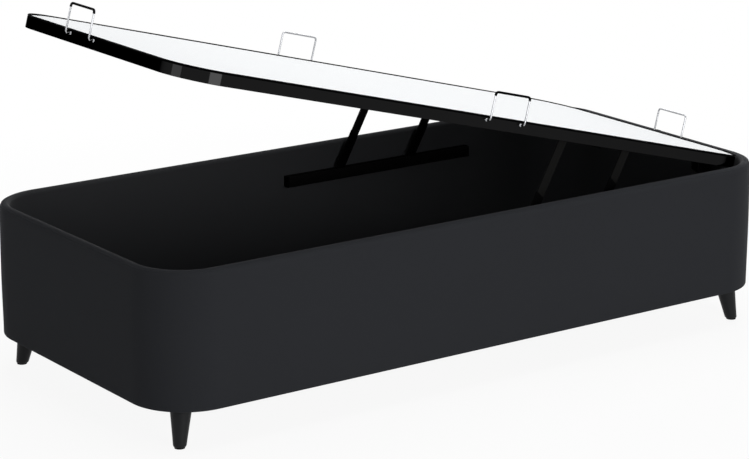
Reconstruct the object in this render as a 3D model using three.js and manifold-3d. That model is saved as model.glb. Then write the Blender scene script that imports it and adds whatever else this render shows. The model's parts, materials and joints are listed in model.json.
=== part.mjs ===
// Divan base with a lift-up lid, in millimetres, +Z up.
// The origin is on the floor under the middle of the box. +Y is the head end, -Y the foot end.
// The lid is modelled open, as far as its gas springs push it.
import * as THREE from 'three';
import * as BufferGeometryUtils from 'three/addons/utils/BufferGeometryUtils.js';
import Module from 'manifold-3d';

const wasm = await Module();
wasm.setup();

// Box
const boxWidth = 900;
const boxLength = 1900;
const boxHeight = 341.5;
const cornerRadius = 150;
const panelThickness = 18;
const skinThickness = 4;
const rimRadius = 10;
const fit = 0.3;

// Floor of the storage space
const floorThickness = 12;
const battenHeight = 26;
const battenWidth = 40;
const battenSpacing = 520;
const battenCount = 3;
const floorLift = 4;

// Legs
const legHeight = 100;
const legSplay = 15;
const legTowardDeg = 39.8;
const legTopRadius = 28;
const legFootRadius = 16.5;
const legFootRounding = 3;
const glideThickness = 3;
const glideInset = 3.5;
const legPlateMargin = 5;
const legPlateThickness = 3;
const legPlateGap = 1;
const studRadius = 4;
const studLength = 15;
const studClearance = 2;
const blockPastCorner = 22;
const blockChamfer = 75;

// Lid
const lidProud = 16.5;
const lidFootGap = 2.5;
const lidOpenDeg = 15;
const tubeHeight = 20;
const tubeWidth = 20;
const tubeWall = 1.5;
const tubeBandGap = 2;
const crossbarCount = 2;
const boardThickness = 8.2;
const padThickness = 2.7;
const bandThickness = 3;
const pipingRadius = 1.4;

// Wire retainers for the mattress
const wireRadius = 2.5;
const loopWidth = 111;
const loopTopHeight = 95;
const loopFootHeight = 22;
const loopStandOff = 14;
const headLoopGap = 1.8;
const loopTopBend = 12;
const loopFootBend = 8;
const loopCollarRadius = 6;
const loopCollarThickness = 2;
const endLoopShift = 55;
const sideLoopFromHead = 906;
const sideLoopShift = 29;

// Hinges at the head end
const hingeInset = 47;
const hingeHeight = 10;
const hingeFromCorner = 50;
const hingePinRadius = 4;
const knuckleRadius = 8.5;
const lugWidth = 24;
const cheekThickness = 4;
const bracketPlateHeight = 62;
const bracketPlateWidth = 52;
const bracketDrop = 31;
const bracketRunHeight = 14;
const runningGap = 0.5;

// Lifting arms
const armWidth = 25;
const armThickness = 5;
const armBandGap = 3.5;
const armTubeGap = 2.5;
const armPivotHeight = 7;
const frontPivotFromHead = 665.5;
const rearPivotFromHead = 449;
const frontArmDeg = 61.4;
const rearArmDeg = 61.6;
const armPinRadius = 4;
const pinHeadRadius = 6.5;
const pinHead = 2;
const tongueRadius = 7;
const tongueLength = 16;
const rollerRadius = 6;
const rollerWidth = 4;
const rollerPinRadius = 4;

// Rails on the side walls
const railHeight = 30;
const railBelowRim = 75.5;
const railSheet = 2;
const armRailGap = 1.9;
const railEndThickness = 4;
const railEndGap = 8;
const rollerBelowRailTop = 8;

// Gas springs in the rails
const cylinderRadius = 7;
const cylinderLength = 170;
const cylinderBore = 4;
const cylinderFloor = 4;
const cylinderGap = 1.3;
const cylinderRunOut = 20;
const rodRadius = 3;
const rodArmGap = 0.8;
const rodTipGap = 36;
const yokeThickness = 2.6;
const yokeEdge = 3.8;
const yokeBoss = 7.6;
const yokeHeight = 26;
const windowGap = 1;
const pinPastYoke = 1.5;
const rollerLag = 13;
const rollerDip = 8;

// Screws
const screwRadius = 2;
const screwHeadRadius = 4.5;
const screwHead = 2.2;
const screwLength = 20;
const screwEdge = 1.8;
const railScrewInset = 40;
const railScrewCount = 4;

// Facets
const cornerSteps = 8;
const roundSteps = 16;
const pinSteps = 10;
const screwSteps = 6;
const wireSides = 6;
const wireSteps = 32;
const rimSteps = 3;
const mergeDistance = 0.0001;

// Places that follow from the sizes
const legTop = legHeight;
const rimTop = legTop + boxHeight;
const wallThickness = 2 * skinThickness + 2 * fit + panelThickness;
const panelOuterInset = skinThickness + fit;
const panelInnerInset = panelOuterInset + panelThickness;
const insideX = boxWidth / 2 - wallThickness;
const insideY = boxLength / 2 - wallThickness;
const panelTop = rimTop - skinThickness - fit;
const blockBottom = legTop + floorLift + legPlateThickness + fit;
const floorBottom = legTop + floorLift + battenHeight;
const floorTop = floorBottom + floorThickness;
const straightX = boxWidth / 2 - cornerRadius;
const straightY = boxLength / 2 - cornerRadius;
const insideRadius = cornerRadius - wallThickness;
const hingeSpread = straightX - hingeFromCorner;
const blockInset = panelInnerInset + fit;
const blockReach = cornerRadius - blockInset + blockPastCorner;
const legPlateRadius = legTopRadius + legPlateMargin;
const legFromCorner = cornerRadius - panelInnerInset - legPlateGap - legPlateRadius;
const legToward = THREE.MathUtils.degToRad(legTowardDeg);

// From the side wall inward: rail, gas spring, arm, lid frame
const railBackX = insideX - fit;
const railFaceX = railBackX - railSheet;
const rodX = railFaceX - cylinderGap - cylinderRadius;
const armOuterX = rodX - rodRadius - rodArmGap;
const armInnerX = armOuterX - armThickness;
const railFrontX = armInnerX - armRailGap - railSheet;
const yokeX = armOuterX + rollerWidth + runningGap;
const rollerPinEndX = yokeX + yokeThickness + pinPastYoke;
const tubeOuterX = armInnerX - armTubeGap;
const tubeCentreX = tubeOuterX - tubeWidth / 2;

// Lid
const boardBottom = tubeHeight + fit;
const padBottom = boardBottom + boardThickness + fit;
const lidHeight = padBottom + padThickness;
const bandHeight = padBottom;
const lidHeadGap = loopStandOff + wireRadius + headLoopGap;
const lidHead = insideY - lidHeadGap;
const lidLength = lidHead + insideY - lidFootGap;
const lidWidth = 2 * (armOuterX + armBandGap + bandThickness);
const lidCornerRadius = insideRadius - (insideX - lidWidth / 2);
const lidUnderside = rimTop + lidProud - lidHeight;
const lidOpen = THREE.MathUtils.degToRad(lidOpenDeg);
const tubeCornerRadius = lidCornerRadius - bandThickness - tubeBandGap;
const tubeCornerX = tubeOuterX - (lidWidth / 2 - lidCornerRadius);
const endTubeInset = lidCornerRadius - Math.sqrt(tubeCornerRadius ** 2 - tubeCornerX ** 2);
const hingeY = lidHead - hingeInset;
const hingeZ = lidUnderside + hingeHeight;
const bracketFaceY = insideY - fit - cheekThickness;

// Rails and gas springs along the side walls
const railBottom = rimTop - railBelowRim - railHeight;
const railTop = railBottom + railHeight;
const rollerZ = railTop - rollerBelowRailTop;
const rodZ = railBottom + railSheet + (railHeight - railSheet) / 2;
const frontArm = armPlace(frontPivotFromHead, frontArmDeg);
const rearArm = armPlace(rearPivotFromHead, rearArmDeg);
const windowHead = rearArm.rollerY + rollerPinRadius + windowGap;
const yokeHead = windowHead + yokeBoss;
const cylinderMouth = yokeHead + cylinderRunOut;
const cylinderHead = cylinderMouth + cylinderLength;
const rodTip = cylinderHead - cylinderFloor - rodTipGap;
const railHead = cylinderHead + fit + railEndThickness;
const railFoot = frontArm.closedRollerY - tongueRadius - railEndGap - railEndThickness;

// An arm hangs from its pin on the lid and runs in the rail at its lower end
function armPlace(pivotFromHead, deg) {
  const u = hingeInset - pivotFromHead;
  const v = armPivotHeight - hingeHeight;
  const y = hingeY + u * Math.cos(lidOpen) + v * Math.sin(lidOpen);
  const z = hingeZ - u * Math.sin(lidOpen) + v * Math.cos(lidOpen);
  const angle = THREE.MathUtils.degToRad(deg);
  const length = (z - rollerZ) / Math.sin(angle);
  const rollerY = y - length * Math.cos(angle);
  const closedDrop = hingeZ + v - rollerZ;
  const closedRollerY = hingeY + u - Math.sqrt(length ** 2 - closedDrop ** 2);
  return { y, z, angle, length, rollerY, closedRollerY };
}

// Colours from the photograph
function paint(color, roughness, metalness) {
  return new THREE.MeshStandardMaterial({ color, roughness, metalness });
}

const materials = {
  cover: () => paint(0x2b2d31, 0.75, 0),
  panel: () => paint(0xb08d5e, 0.85, 0),
  block: () => paint(0xc0a070, 0.85, 0),
  floor: () => paint(0x37383b, 0.9, 0),
  leg: () => paint(0x26282b, 0.5, 0),
  glide: () => paint(0x101010, 0.9, 0),
  steel: () => paint(0x8d9094, 0.4, 0.9),
  blackSteel: () => paint(0x0c0c0d, 0.45, 0.5),
  chrome: () => paint(0xe4e6e8, 0.12, 1),
  pad: () => paint(0xf6f8fa, 0.85, 0),
  band: () => paint(0x020202, 0.08, 0),
  piping: () => paint(0x070707, 0.6, 0),
  board: () => paint(0xa98b62, 0.85, 0),
};

function part(name, geometry, material) {
  const mesh = new THREE.Mesh(geometry, material);
  mesh.name = name;
  return mesh;
}

// Outlines

function roundedRectangle(halfX, halfY, radius) {
  const points = [];
  const corners = [[1, 1, 0], [-1, 1, 1], [-1, -1, 2], [1, -1, 3]];
  for (const [sideX, sideY, quarter] of corners) {
    for (let step = 0; step <= cornerSteps; step++) {
      const angle = (quarter + step / cornerSteps) * Math.PI / 2;
      const x = sideX * (halfX - radius) + radius * Math.cos(angle);
      const y = sideY * (halfY - radius) + radius * Math.sin(angle);
      points.push(new THREE.Vector2(x, y));
    }
  }
  return points;
}

function rectangle(x0, y0, x1, y1) {
  return new THREE.Shape([
    new THREE.Vector2(x0, y0), new THREE.Vector2(x1, y0),
    new THREE.Vector2(x1, y1), new THREE.Vector2(x0, y1),
  ]);
}

function circle(x, y, radius, steps = pinSteps) {
  const points = [];
  for (let step = 0; step < steps; step++) {
    const angle = step / steps * 2 * Math.PI;
    points.push(new THREE.Vector2(x + radius * Math.cos(angle), y + radius * Math.sin(angle)));
  }
  return new THREE.Path(points);
}

// Solids from outlines: each name says along which axis the outline is drawn out

function alongZ(shape, z0, z1) {
  const geometry = new THREE.ExtrudeGeometry(shape, {
    depth: z1 - z0, bevelEnabled: false, curveSegments: pinSteps / 2,
  });
  return geometry.translate(0, 0, z0);
}

function alongX(shapeYZ, x0, x1) {
  const turn = new THREE.Matrix4().set(0, 0, 1, 0, 1, 0, 0, 0, 0, 1, 0, 0, 0, 0, 0, 1);
  return alongZ(shapeYZ, x0, x1).applyMatrix4(turn);
}

function alongY(shapeXZ, y0, y1) {
  return alongZ(shapeXZ, -y1, -y0).rotateX(Math.PI / 2);
}

function block(x0, x1, y0, y1, z0, z1) {
  const geometry = new THREE.BoxGeometry(x1 - x0, y1 - y0, z1 - z0);
  return geometry.translate((x0 + x1) / 2, (y0 + y1) / 2, (z0 + z1) / 2);
}

function rodAlongX(x0, x1, y, z, radius, steps = pinSteps) {
  const [low, high] = [Math.min(x0, x1), Math.max(x0, x1)];
  const geometry = new THREE.CylinderGeometry(radius, radius, high - low, steps);
  return geometry.rotateZ(-Math.PI / 2).translate((low + high) / 2, y, z);
}

function rodAlongY(x, y0, y1, z, radius, steps = pinSteps) {
  const geometry = new THREE.CylinderGeometry(radius, radius, y1 - y0, steps);
  return geometry.translate(x, (y0 + y1) / 2, z);
}

// A closed section, given as inset from the outline and height, taken round a rounded rectangle
function ringAround(halfX, halfY, radius, section) {
  const rings = section.map(([inset, z]) => {
    return roundedRectangle(halfX - inset, halfY - inset, radius - inset).map((p) => [p.x, p.y, z]);
  });
  const count = rings[0].length;
  const index = [];
  for (let ring = 0; ring < rings.length; ring++) {
    const next = (ring + 1) % rings.length;
    for (let i = 0; i < count; i++) {
      const j = (i + 1) % count;
      const [a, b] = [ring * count + i, ring * count + j];
      const [c, d] = [next * count + i, next * count + j];
      index.push(a, d, b, a, c, d);
    }
  }
  const geometry = new THREE.BufferGeometry();
  geometry.setAttribute('position', new THREE.Float32BufferAttribute(rings.flat(2), 3));
  geometry.setIndex(index);
  return geometry;
}

// Cuts and joins

function toSolid(geometry) {
  const bare = geometry.clone();
  bare.deleteAttribute('normal');
  bare.deleteAttribute('uv');
  const merged = BufferGeometryUtils.mergeVertices(bare, mergeDistance);
  return new wasm.Manifold(new wasm.Mesh({
    numProp: 3,
    vertProperties: new Float32Array(merged.attributes.position.array),
    triVerts: new Uint32Array(merged.index.array),
  }));
}

function toGeometry(solid) {
  const mesh = solid.getMesh();
  const geometry = new THREE.BufferGeometry();
  geometry.setAttribute('position', new THREE.Float32BufferAttribute(mesh.vertProperties, 3));
  geometry.setIndex(Array.from(mesh.triVerts));
  return geometry;
}

function join(geometries) {
  return toGeometry(geometries.map(toSolid).reduce((whole, piece) => whole.add(piece)));
}

function cut(geometry, tools) {
  return toGeometry(tools.map(toSolid).reduce((whole, tool) => whole.subtract(tool), toSolid(geometry)));
}

// Screws hold each rail to its side panel and each hinge bracket to the head panel.
// They are tight in what they hold and have clearance in the cover and the panel.

function railScrewSpots(side) {
  const first = railFoot + railScrewInset;
  const last = cylinderMouth - railScrewInset;
  const places = Array.from({ length: railScrewCount }, (_, i) => i / (railScrewCount - 1));
  return places.map((share) => ({ side, y: first + share * (last - first), z: rodZ }));
}

function bracketScrewSpots(side) {
  const reach = bracketPlateWidth / 2 - screwHeadRadius - screwEdge;
  const z = hingeZ - bracketDrop - bracketPlateHeight / 2;
  return [-reach, reach].map((shift) => ({ x: side * hingeSpread + shift, z }));
}

function railScrewShank(spot, extra) {
  const tip = railFaceX + screwLength + extra;
  const radius = screwRadius + extra;
  return rodAlongX(spot.side * railFaceX, spot.side * tip, spot.y, spot.z, radius, screwSteps);
}

function bracketScrewShank(spot, extra) {
  const tip = bracketFaceY + screwLength + extra;
  return rodAlongY(spot.x, bracketFaceY, tip, spot.z, screwRadius + extra, screwSteps);
}

function railScrew(spot) {
  const headX = spot.side * (railFaceX - screwHead);
  const head = rodAlongX(headX, spot.side * railFaceX, spot.y, spot.z, screwHeadRadius, screwSteps);
  return join([head, railScrewShank(spot, 0)]);
}

function bracketScrew(spot) {
  const face = bracketFaceY - screwHead;
  const head = rodAlongY(spot.x, face, bracketFaceY, spot.z, screwHeadRadius, screwSteps);
  return join([head, bracketScrewShank(spot, 0)]);
}

function screwHoles() {
  return [1, -1].flatMap((side) => [
    ...railScrewSpots(side).map((spot) => railScrewShank(spot, fit)),
    ...bracketScrewSpots(side).map((spot) => bracketScrewShank(spot, fit)),
  ]);
}

// Box

function sidePanel(name, side) {
  const outer = boxWidth / 2 - panelOuterInset;
  const [x0, x1] = side > 0 ? [outer - panelThickness, outer] : [-outer, -outer + panelThickness];
  const board = block(x0, x1, -straightY + fit / 2, straightY - fit / 2, legTop, panelTop);
  const holes = railScrewSpots(side).map((spot) => railScrewShank(spot, fit));
  return part(name, cut(board, holes), materials.panel());
}

function footPanel() {
  const outer = boxLength / 2 - panelOuterInset;
  const half = straightX - fit / 2;
  const board = block(-half, half, -outer, -outer + panelThickness, legTop, panelTop);
  return part('foot_panel', board, materials.panel());
}

function headPanel() {
  const outer = boxLength / 2 - panelOuterInset;
  const half = straightX - fit / 2;
  const board = block(-half, half, outer - panelThickness, outer, legTop, panelTop);
  const spots = [...bracketScrewSpots(1), ...bracketScrewSpots(-1)];
  const holes = spots.map((spot) => bracketScrewShank(spot, fit));
  return part('head_panel', cut(board, holes), materials.panel());
}

function cornerShell(name, sideX, sideY) {
  const outer = cornerRadius - panelOuterInset;
  const inner = cornerRadius - panelInnerInset;
  const trim = fit / 2 / inner;
  const points = [];
  for (let step = 0; step <= cornerSteps; step++) {
    const angle = trim + step / cornerSteps * (Math.PI / 2 - 2 * trim);
    points.push(new THREE.Vector2(outer * Math.cos(angle), outer * Math.sin(angle)));
  }
  for (let step = cornerSteps; step >= 0; step--) {
    const angle = trim + step / cornerSteps * (Math.PI / 2 - 2 * trim);
    points.push(new THREE.Vector2(inner * Math.cos(angle), inner * Math.sin(angle)));
  }
  const quarter = Math.atan2(sideY, sideX) - Math.PI / 4;
  const geometry = alongZ(new THREE.Shape(points), legTop, panelTop).rotateZ(quarter);
  return part(name, geometry.translate(sideX * straightX, sideY * straightY, 0), materials.panel());
}

// The cover goes up the outside, over the rim and down the inside, behind the storage floor
function upholsteryCover() {
  const section = [[0, legTop], [skinThickness, legTop], [skinThickness, panelTop + fit]];
  section.push([wallThickness - skinThickness, panelTop + fit]);
  section.push([wallThickness - skinThickness, floorBottom], [wallThickness, floorBottom]);
  for (let step = 0; step <= rimSteps; step++) {
    const angle = step / rimSteps * Math.PI / 2;
    const inset = wallThickness - rimRadius * (1 - Math.cos(angle));
    section.push([inset, rimTop - rimRadius * (1 - Math.sin(angle))]);
  }
  for (let step = 0; step <= rimSteps; step++) {
    const angle = step / rimSteps * Math.PI / 2;
    section.push([rimRadius * (1 - Math.sin(angle)), rimTop - rimRadius * (1 - Math.cos(angle))]);
  }
  const ring = ringAround(boxWidth / 2, boxLength / 2, cornerRadius, section);
  return part('upholstery_cover', cut(ring, screwHoles()), materials.cover());
}

// Storage floor and what carries it

function floorBoard() {
  const outline = new THREE.Shape(roundedRectangle(insideX - fit, insideY - fit, insideRadius - fit));
  return part('floor_board', alongZ(outline, floorBottom, floorTop), materials.floor());
}

function floorBattens() {
  const half = boxWidth / 2 - blockInset;
  const battens = [];
  for (let i = 0; i < battenCount; i++) {
    const y = (i - (battenCount - 1) / 2) * battenSpacing;
    const [y0, y1] = [y - battenWidth / 2, y + battenWidth / 2];
    const geometry = block(-half, half, y0, y1, legTop + floorLift, floorBottom - fit);
    battens.push(part(`floor_batten_${i + 1}`, geometry, materials.block()));
  }
  return battens;
}

function cornerBlock(name, sideX, sideY) {
  const radius = cornerRadius - blockInset;
  const [endX, endY] = [boxWidth / 2 - blockInset, boxLength / 2 - blockInset];
  const points = [new THREE.Vector2(endX - blockReach, endY - blockReach + blockChamfer)];
  points.push(new THREE.Vector2(endX - blockReach + blockChamfer, endY - blockReach));
  points.push(new THREE.Vector2(endX, endY - blockReach));
  for (let step = 0; step <= cornerSteps; step++) {
    const angle = step / cornerSteps * Math.PI / 2;
    const [x, y] = [radius * Math.cos(angle), radius * Math.sin(angle)];
    points.push(new THREE.Vector2(endX - radius + x, endY - radius + y));
  }
  points.push(new THREE.Vector2(endX - blockReach, endY));
  const mirrored = points.map((p) => new THREE.Vector2(sideX * p.x, sideY * p.y));
  const shape = new THREE.Shape(mirrored);
  const spot = legSpot(sideX, sideY, blockBottom + studLength / 2);
  shape.holes.push(circle(spot.x, spot.y, studRadius + studClearance));
  return part(name, alongZ(shape, blockBottom, floorBottom - fit), materials.block());
}

// Legs

// Where the middle of a splayed leg is at height z
function legSpot(sideX, sideY, z) {
  const outward = legSplay * (legHeight - z) / legHeight;
  const x = sideX * (straightX + legFromCorner * Math.cos(legToward) + outward);
  const y = sideY * (straightY + legFromCorner * Math.sin(legToward) + outward);
  return { x, y };
}

function leaned(geometry, sideX, sideY) {
  const slope = -legSplay / legHeight;
  const lean = new THREE.Matrix4().set(
    1, 0, sideX * slope, 0,
    0, 1, sideY * slope, 0,
    0, 0, 1, 0,
    0, 0, 0, 1,
  );
  const spot = legSpot(sideX, sideY, legHeight);
  return geometry.translate(0, 0, -legHeight).applyMatrix4(lean).translate(spot.x, spot.y, legHeight);
}

function turned(profile) {
  const points = profile.map(([radius, z]) => new THREE.Vector2(radius, z));
  return new THREE.LatheGeometry(points, roundSteps).rotateX(Math.PI / 2);
}

function leg(name, sideX, sideY) {
  const top = legTop + floorLift - fit;
  const foot = glideThickness + fit;
  const rounded = legFootRadius - legFootRounding;
  const half = legFootRounding * (1 - Math.SQRT1_2);
  const profile = [[0, foot], [rounded, foot], [legFootRadius - half, foot + half]];
  profile.push([legFootRadius, foot + legFootRounding], [legTopRadius, top]);
  profile.push([studRadius, top], [studRadius, top + studLength], [0, top + studLength]);
  return part(name, leaned(turned(profile), sideX, sideY), materials.leg());
}

function legGlide(name, sideX, sideY) {
  const radius = legFootRadius - glideInset;
  const profile = [[0, 0], [radius, 0], [radius, glideThickness], [0, glideThickness]];
  return part(name, leaned(turned(profile), sideX, sideY), materials.glide());
}

function legPlate(name, sideX, sideY) {
  const bottom = legTop + floorLift;
  const spot = legSpot(sideX, sideY, bottom);
  const shape = new THREE.Shape(circle(spot.x, spot.y, legPlateRadius, roundSteps).getPoints());
  shape.holes.push(circle(spot.x, spot.y, studRadius + studClearance));
  return part(name, alongZ(shape, bottom, bottom + legPlateThickness), materials.steel());
}

function corners() {
  const pieces = [];
  const names = [['head_right', 1, 1], ['head_left', -1, 1], ['foot_right', 1, -1], ['foot_left', -1, -1]];
  for (const [name, sideX, sideY] of names) {
    pieces.push(cornerShell(`corner_shell_${name}`, sideX, sideY));
    pieces.push(cornerBlock(`corner_block_${name}`, sideX, sideY));
    pieces.push(legPlate(`leg_plate_${name}`, sideX, sideY));
    pieces.push(leg(`leg_${name}`, sideX, sideY));
    pieces.push(legGlide(`leg_glide_${name}`, sideX, sideY));
  }
  return pieces;
}

// Rails with their gas springs

function wallRail(name, side) {
  const outline = [
    [railFrontX, railBottom], [railBackX, railBottom], [railBackX, railTop],
    [railBackX - railSheet, railTop], [railBackX - railSheet, railBottom + railSheet],
    [railFrontX + railSheet, railBottom + railSheet], [railFrontX + railSheet, railTop],
    [railFrontX, railTop],
  ];
  const points = outline.map(([x, z]) => new THREE.Vector2(side * x, z));
  const channel = alongY(new THREE.Shape(points), railFoot, railHead);
  const [x0, x1] = side > 0 ? [railFrontX, railBackX] : [-railBackX, -railFrontX];
  const footEnd = block(x0, x1, railFoot, railFoot + railEndThickness, railBottom, railTop);
  const headEnd = block(x0, x1, railHead - railEndThickness, railHead, railBottom, railTop);
  const screws = railScrewSpots(side).map(railScrew);
  return part(name, join([channel, footEnd, headEnd, ...screws]), materials.blackSteel());
}

function gasCylinder(name, side) {
  const profile = [[0, 0], [cylinderRadius, 0], [cylinderRadius, cylinderLength]];
  profile.push([cylinderBore, cylinderLength], [cylinderBore, cylinderFloor], [0, cylinderFloor]);
  const geometry = turned(profile).rotateX(Math.PI / 2).translate(side * rodX, cylinderHead, rodZ);
  return part(name, geometry, materials.blackSteel());
}

// The rod ends in a flat yoke; the rear roller's pin rides in its window
function gasRod(name, side) {
  const windowFoot = rearArm.rollerY - rollerLag - rollerPinRadius - windowGap;
  const low = rollerZ - rollerDip - rollerPinRadius - windowGap;
  const high = rollerZ + rollerPinRadius + windowGap;
  const middle = (low + high) / 2;
  const [bottom, top] = [middle - yokeHeight / 2, middle + yokeHeight / 2];
  const shape = rectangle(windowFoot - yokeEdge, bottom, yokeHead, top);
  shape.holes.push(new THREE.Path(rectangle(windowFoot, low, windowHead, high).getPoints()));
  const [x0, x1] = side > 0 ? [yokeX, yokeX + yokeThickness] : [-yokeX - yokeThickness, -yokeX];
  const yoke = alongX(shape, x0, x1);
  const rod = rodAlongY(side * rodX, yokeHead - yokeBoss / 2, rodTip, rodZ, rodRadius);
  return part(name, join([yoke, rod]), materials.chrome());
}

// Hinge brackets on the head panel and their pins

function hingeBracket(name, side) {
  const wallY = insideY - fit;
  const runTop = hingeZ - bracketDrop;
  const shape = new THREE.Shape();
  shape.moveTo(wallY - cheekThickness / 2, runTop - bracketPlateHeight);
  shape.lineTo(wallY - cheekThickness / 2, runTop);
  shape.lineTo(hingeY + knuckleRadius, runTop);
  shape.lineTo(hingeY + knuckleRadius, hingeZ);
  shape.absarc(hingeY, hingeZ, knuckleRadius, 0, Math.PI, false);
  shape.lineTo(hingeY - knuckleRadius, runTop - bracketRunHeight);
  shape.holes.push(circle(hingeY, hingeZ, hingePinRadius + fit));
  const centre = side * hingeSpread;
  const reach = lugWidth / 2 + runningGap;
  const left = alongX(shape, centre - reach - cheekThickness, centre - reach);
  const right = alongX(shape, centre + reach, centre + reach + cheekThickness);
  const halfPlate = bracketPlateWidth / 2;
  const plate = block(centre - halfPlate, centre + halfPlate, wallY - cheekThickness, wallY,
    runTop - bracketPlateHeight, runTop);
  const screws = bracketScrewSpots(side).map(bracketScrew);
  return part(name, join([left, right, plate, ...screws]), materials.blackSteel());
}

function hingePin(name, side) {
  const half = lugWidth / 2 + runningGap + cheekThickness + fit;
  const centre = side * hingeSpread;
  const shank = rodAlongX(centre - half, centre + half, hingeY, hingeZ, hingePinRadius);
  const heads = [-1, 1].map((end) => {
    const face = centre + end * half;
    return rodAlongX(face, face + end * pinHead, hingeY, hingeZ, pinHeadRadius);
  });
  return part(name, join([shank, ...heads]), materials.steel());
}

// Lid pieces are drawn closed, from the hinge line, with u toward the head and v up.
// u is 0 at the lid's head edge and v is 0 at its underside.

function onLid(geometry) {
  return geometry.translate(0, hingeInset, -hingeHeight);
}

function lidRing(section) {
  const ring = ringAround(lidWidth / 2, lidLength / 2, lidCornerRadius, section);
  return onLid(ring.translate(0, -lidLength / 2, 0));
}

function hollowTube(width) {
  const shape = rectangle(-width / 2, 0, width / 2, tubeHeight);
  const hole = rectangle(-width / 2 + tubeWall, tubeWall, width / 2 - tubeWall, tubeHeight - tubeWall);
  shape.holes.push(new THREE.Path(hole.getPoints()));
  return shape;
}

// The arms turn on studs that are welded to the side tubes
function armStud(side, fromHead) {
  const weld = side * (tubeOuterX - tubeWall / 2);
  const face = armOuterX + fit;
  const shank = rodAlongX(weld, side * face, -fromHead, armPivotHeight, armPinRadius);
  const head = rodAlongX(side * face, side * (face + pinHead), -fromHead, armPivotHeight, pinHeadRadius);
  return join([shank, head]);
}

function sideTube(name, side) {
  const tube = alongY(hollowTube(tubeWidth), -lidLength + endTubeInset, -endTubeInset);
  const studs = [frontPivotFromHead, rearPivotFromHead].map((fromHead) => armStud(side, fromHead));
  return part(name, onLid(join([tube.translate(side * tubeCentreX, 0, 0), ...studs])), materials.steel());
}

function crossTube(u) {
  const half = tubeOuterX - tubeWidth - fit;
  return alongX(hollowTube(tubeWidth), -half, half).translate(0, u, 0);
}

function headTube() {
  const middle = -endTubeInset - tubeWidth / 2;
  const tube = crossTube(middle);
  const face = -endTubeInset - tubeWall / 2;
  const lugs = [1, -1].map((side) => {
    const shape = new THREE.Shape();
    shape.moveTo(face, hingeHeight - knuckleRadius);
    shape.lineTo(-hingeInset, hingeHeight - knuckleRadius);
    shape.absarc(-hingeInset, hingeHeight, knuckleRadius, -Math.PI / 2, Math.PI / 2, false);
    shape.lineTo(face, hingeHeight + knuckleRadius);
    shape.holes.push(circle(-hingeInset, hingeHeight, hingePinRadius + fit));
    return alongX(shape, side * hingeSpread - lugWidth / 2, side * hingeSpread + lugWidth / 2);
  });
  return part('lid_head_tube', onLid(join([tube, ...lugs])), materials.steel());
}

function footTube() {
  const middle = -lidLength + endTubeInset + tubeWidth / 2;
  return part('lid_foot_tube', onLid(crossTube(middle)), materials.steel());
}

function crossbars() {
  const bars = [];
  const span = lidLength - 2 * endTubeInset;
  for (let i = 1; i <= crossbarCount; i++) {
    const u = -endTubeInset - span * i / (crossbarCount + 1);
    bars.push(part(`lid_crossbar_${i}`, onLid(crossTube(u)), materials.steel()));
  }
  return bars;
}

function lidOutline(inset) {
  const points = roundedRectangle(lidWidth / 2 - inset, lidLength / 2 - inset, lidCornerRadius - inset);
  return new THREE.Shape(points.map((p) => new THREE.Vector2(p.x, p.y - lidLength / 2)));
}

function lidBoard() {
  const shape = lidOutline(bandThickness + fit);
  const board = alongZ(shape, boardBottom, boardBottom + boardThickness);
  return part('lid_board', onLid(board), materials.board());
}

function lidTopPad() {
  const shape = lidOutline(2 * pipingRadius + fit);
  return part('lid_top_pad', onLid(alongZ(shape, padBottom, lidHeight)), materials.pad());
}

function lidEdgeBand() {
  const section = [[0, 0], [bandThickness, 0], [bandThickness, bandHeight - fit], [0, bandHeight - fit]];
  return part('lid_edge_band', lidRing(section), materials.band());
}

function lidPiping() {
  const section = [];
  for (let step = 0; step < wireSides; step++) {
    const angle = (step + 0.5) / wireSides * 2 * Math.PI;
    const inset = pipingRadius - pipingRadius * Math.cos(angle);
    section.push([inset, bandHeight + pipingRadius - pipingRadius * Math.sin(angle)]);
  }
  return part('lid_piping', lidRing(section), materials.piping());
}

// One wire: out of the edge band, up, across above the lid, and back down into the band.
// It is drawn across X with the lid behind it, at +Y.
function retainerWire() {
  const half = loopWidth / 2;
  const start = loopCollarThickness / 2 + fit;
  const at = (x, out, v) => new THREE.Vector3(x, -out, v);
  const path = new THREE.CurvePath();
  const bend = (from, corner, to) => path.add(new THREE.QuadraticBezierCurve3(from, corner, to));
  const line = (from, to) => path.add(new THREE.LineCurve3(from, to));
  const rise = loopFootHeight + loopFootBend;
  const shoulder = loopTopHeight - loopTopBend;
  const reach = loopStandOff - loopFootBend;
  const run = half - loopTopBend;
  line(at(-half, start, loopFootHeight), at(-half, reach, loopFootHeight));
  bend(at(-half, reach, loopFootHeight), at(-half, loopStandOff, loopFootHeight),
    at(-half, loopStandOff, rise));
  line(at(-half, loopStandOff, rise), at(-half, loopStandOff, shoulder));
  bend(at(-half, loopStandOff, shoulder), at(-half, loopStandOff, loopTopHeight),
    at(-run, loopStandOff, loopTopHeight));
  line(at(-run, loopStandOff, loopTopHeight), at(run, loopStandOff, loopTopHeight));
  bend(at(run, loopStandOff, loopTopHeight), at(half, loopStandOff, loopTopHeight),
    at(half, loopStandOff, shoulder));
  line(at(half, loopStandOff, shoulder), at(half, loopStandOff, rise));
  bend(at(half, loopStandOff, rise), at(half, loopStandOff, loopFootHeight),
    at(half, reach, loopFootHeight));
  line(at(half, reach, loopFootHeight), at(half, start, loopFootHeight));
  const section = new THREE.Shape(circle(0, 0, wireRadius, wireSides).getPoints());
  const wire = new THREE.ExtrudeGeometry(section, { extrudePath: path, steps: wireSteps });
  const collars = [-half, half].map((x) => {
    return rodAlongY(x, -fit - loopCollarThickness, -fit, loopFootHeight, loopCollarRadius, screwSteps);
  });
  return join([wire, ...collars]);
}

function retainer(name, x, u, turn) {
  const geometry = retainerWire().rotateZ(turn).translate(x, u, 0);
  return part(name, onLid(geometry), materials.chrome());
}

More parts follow.
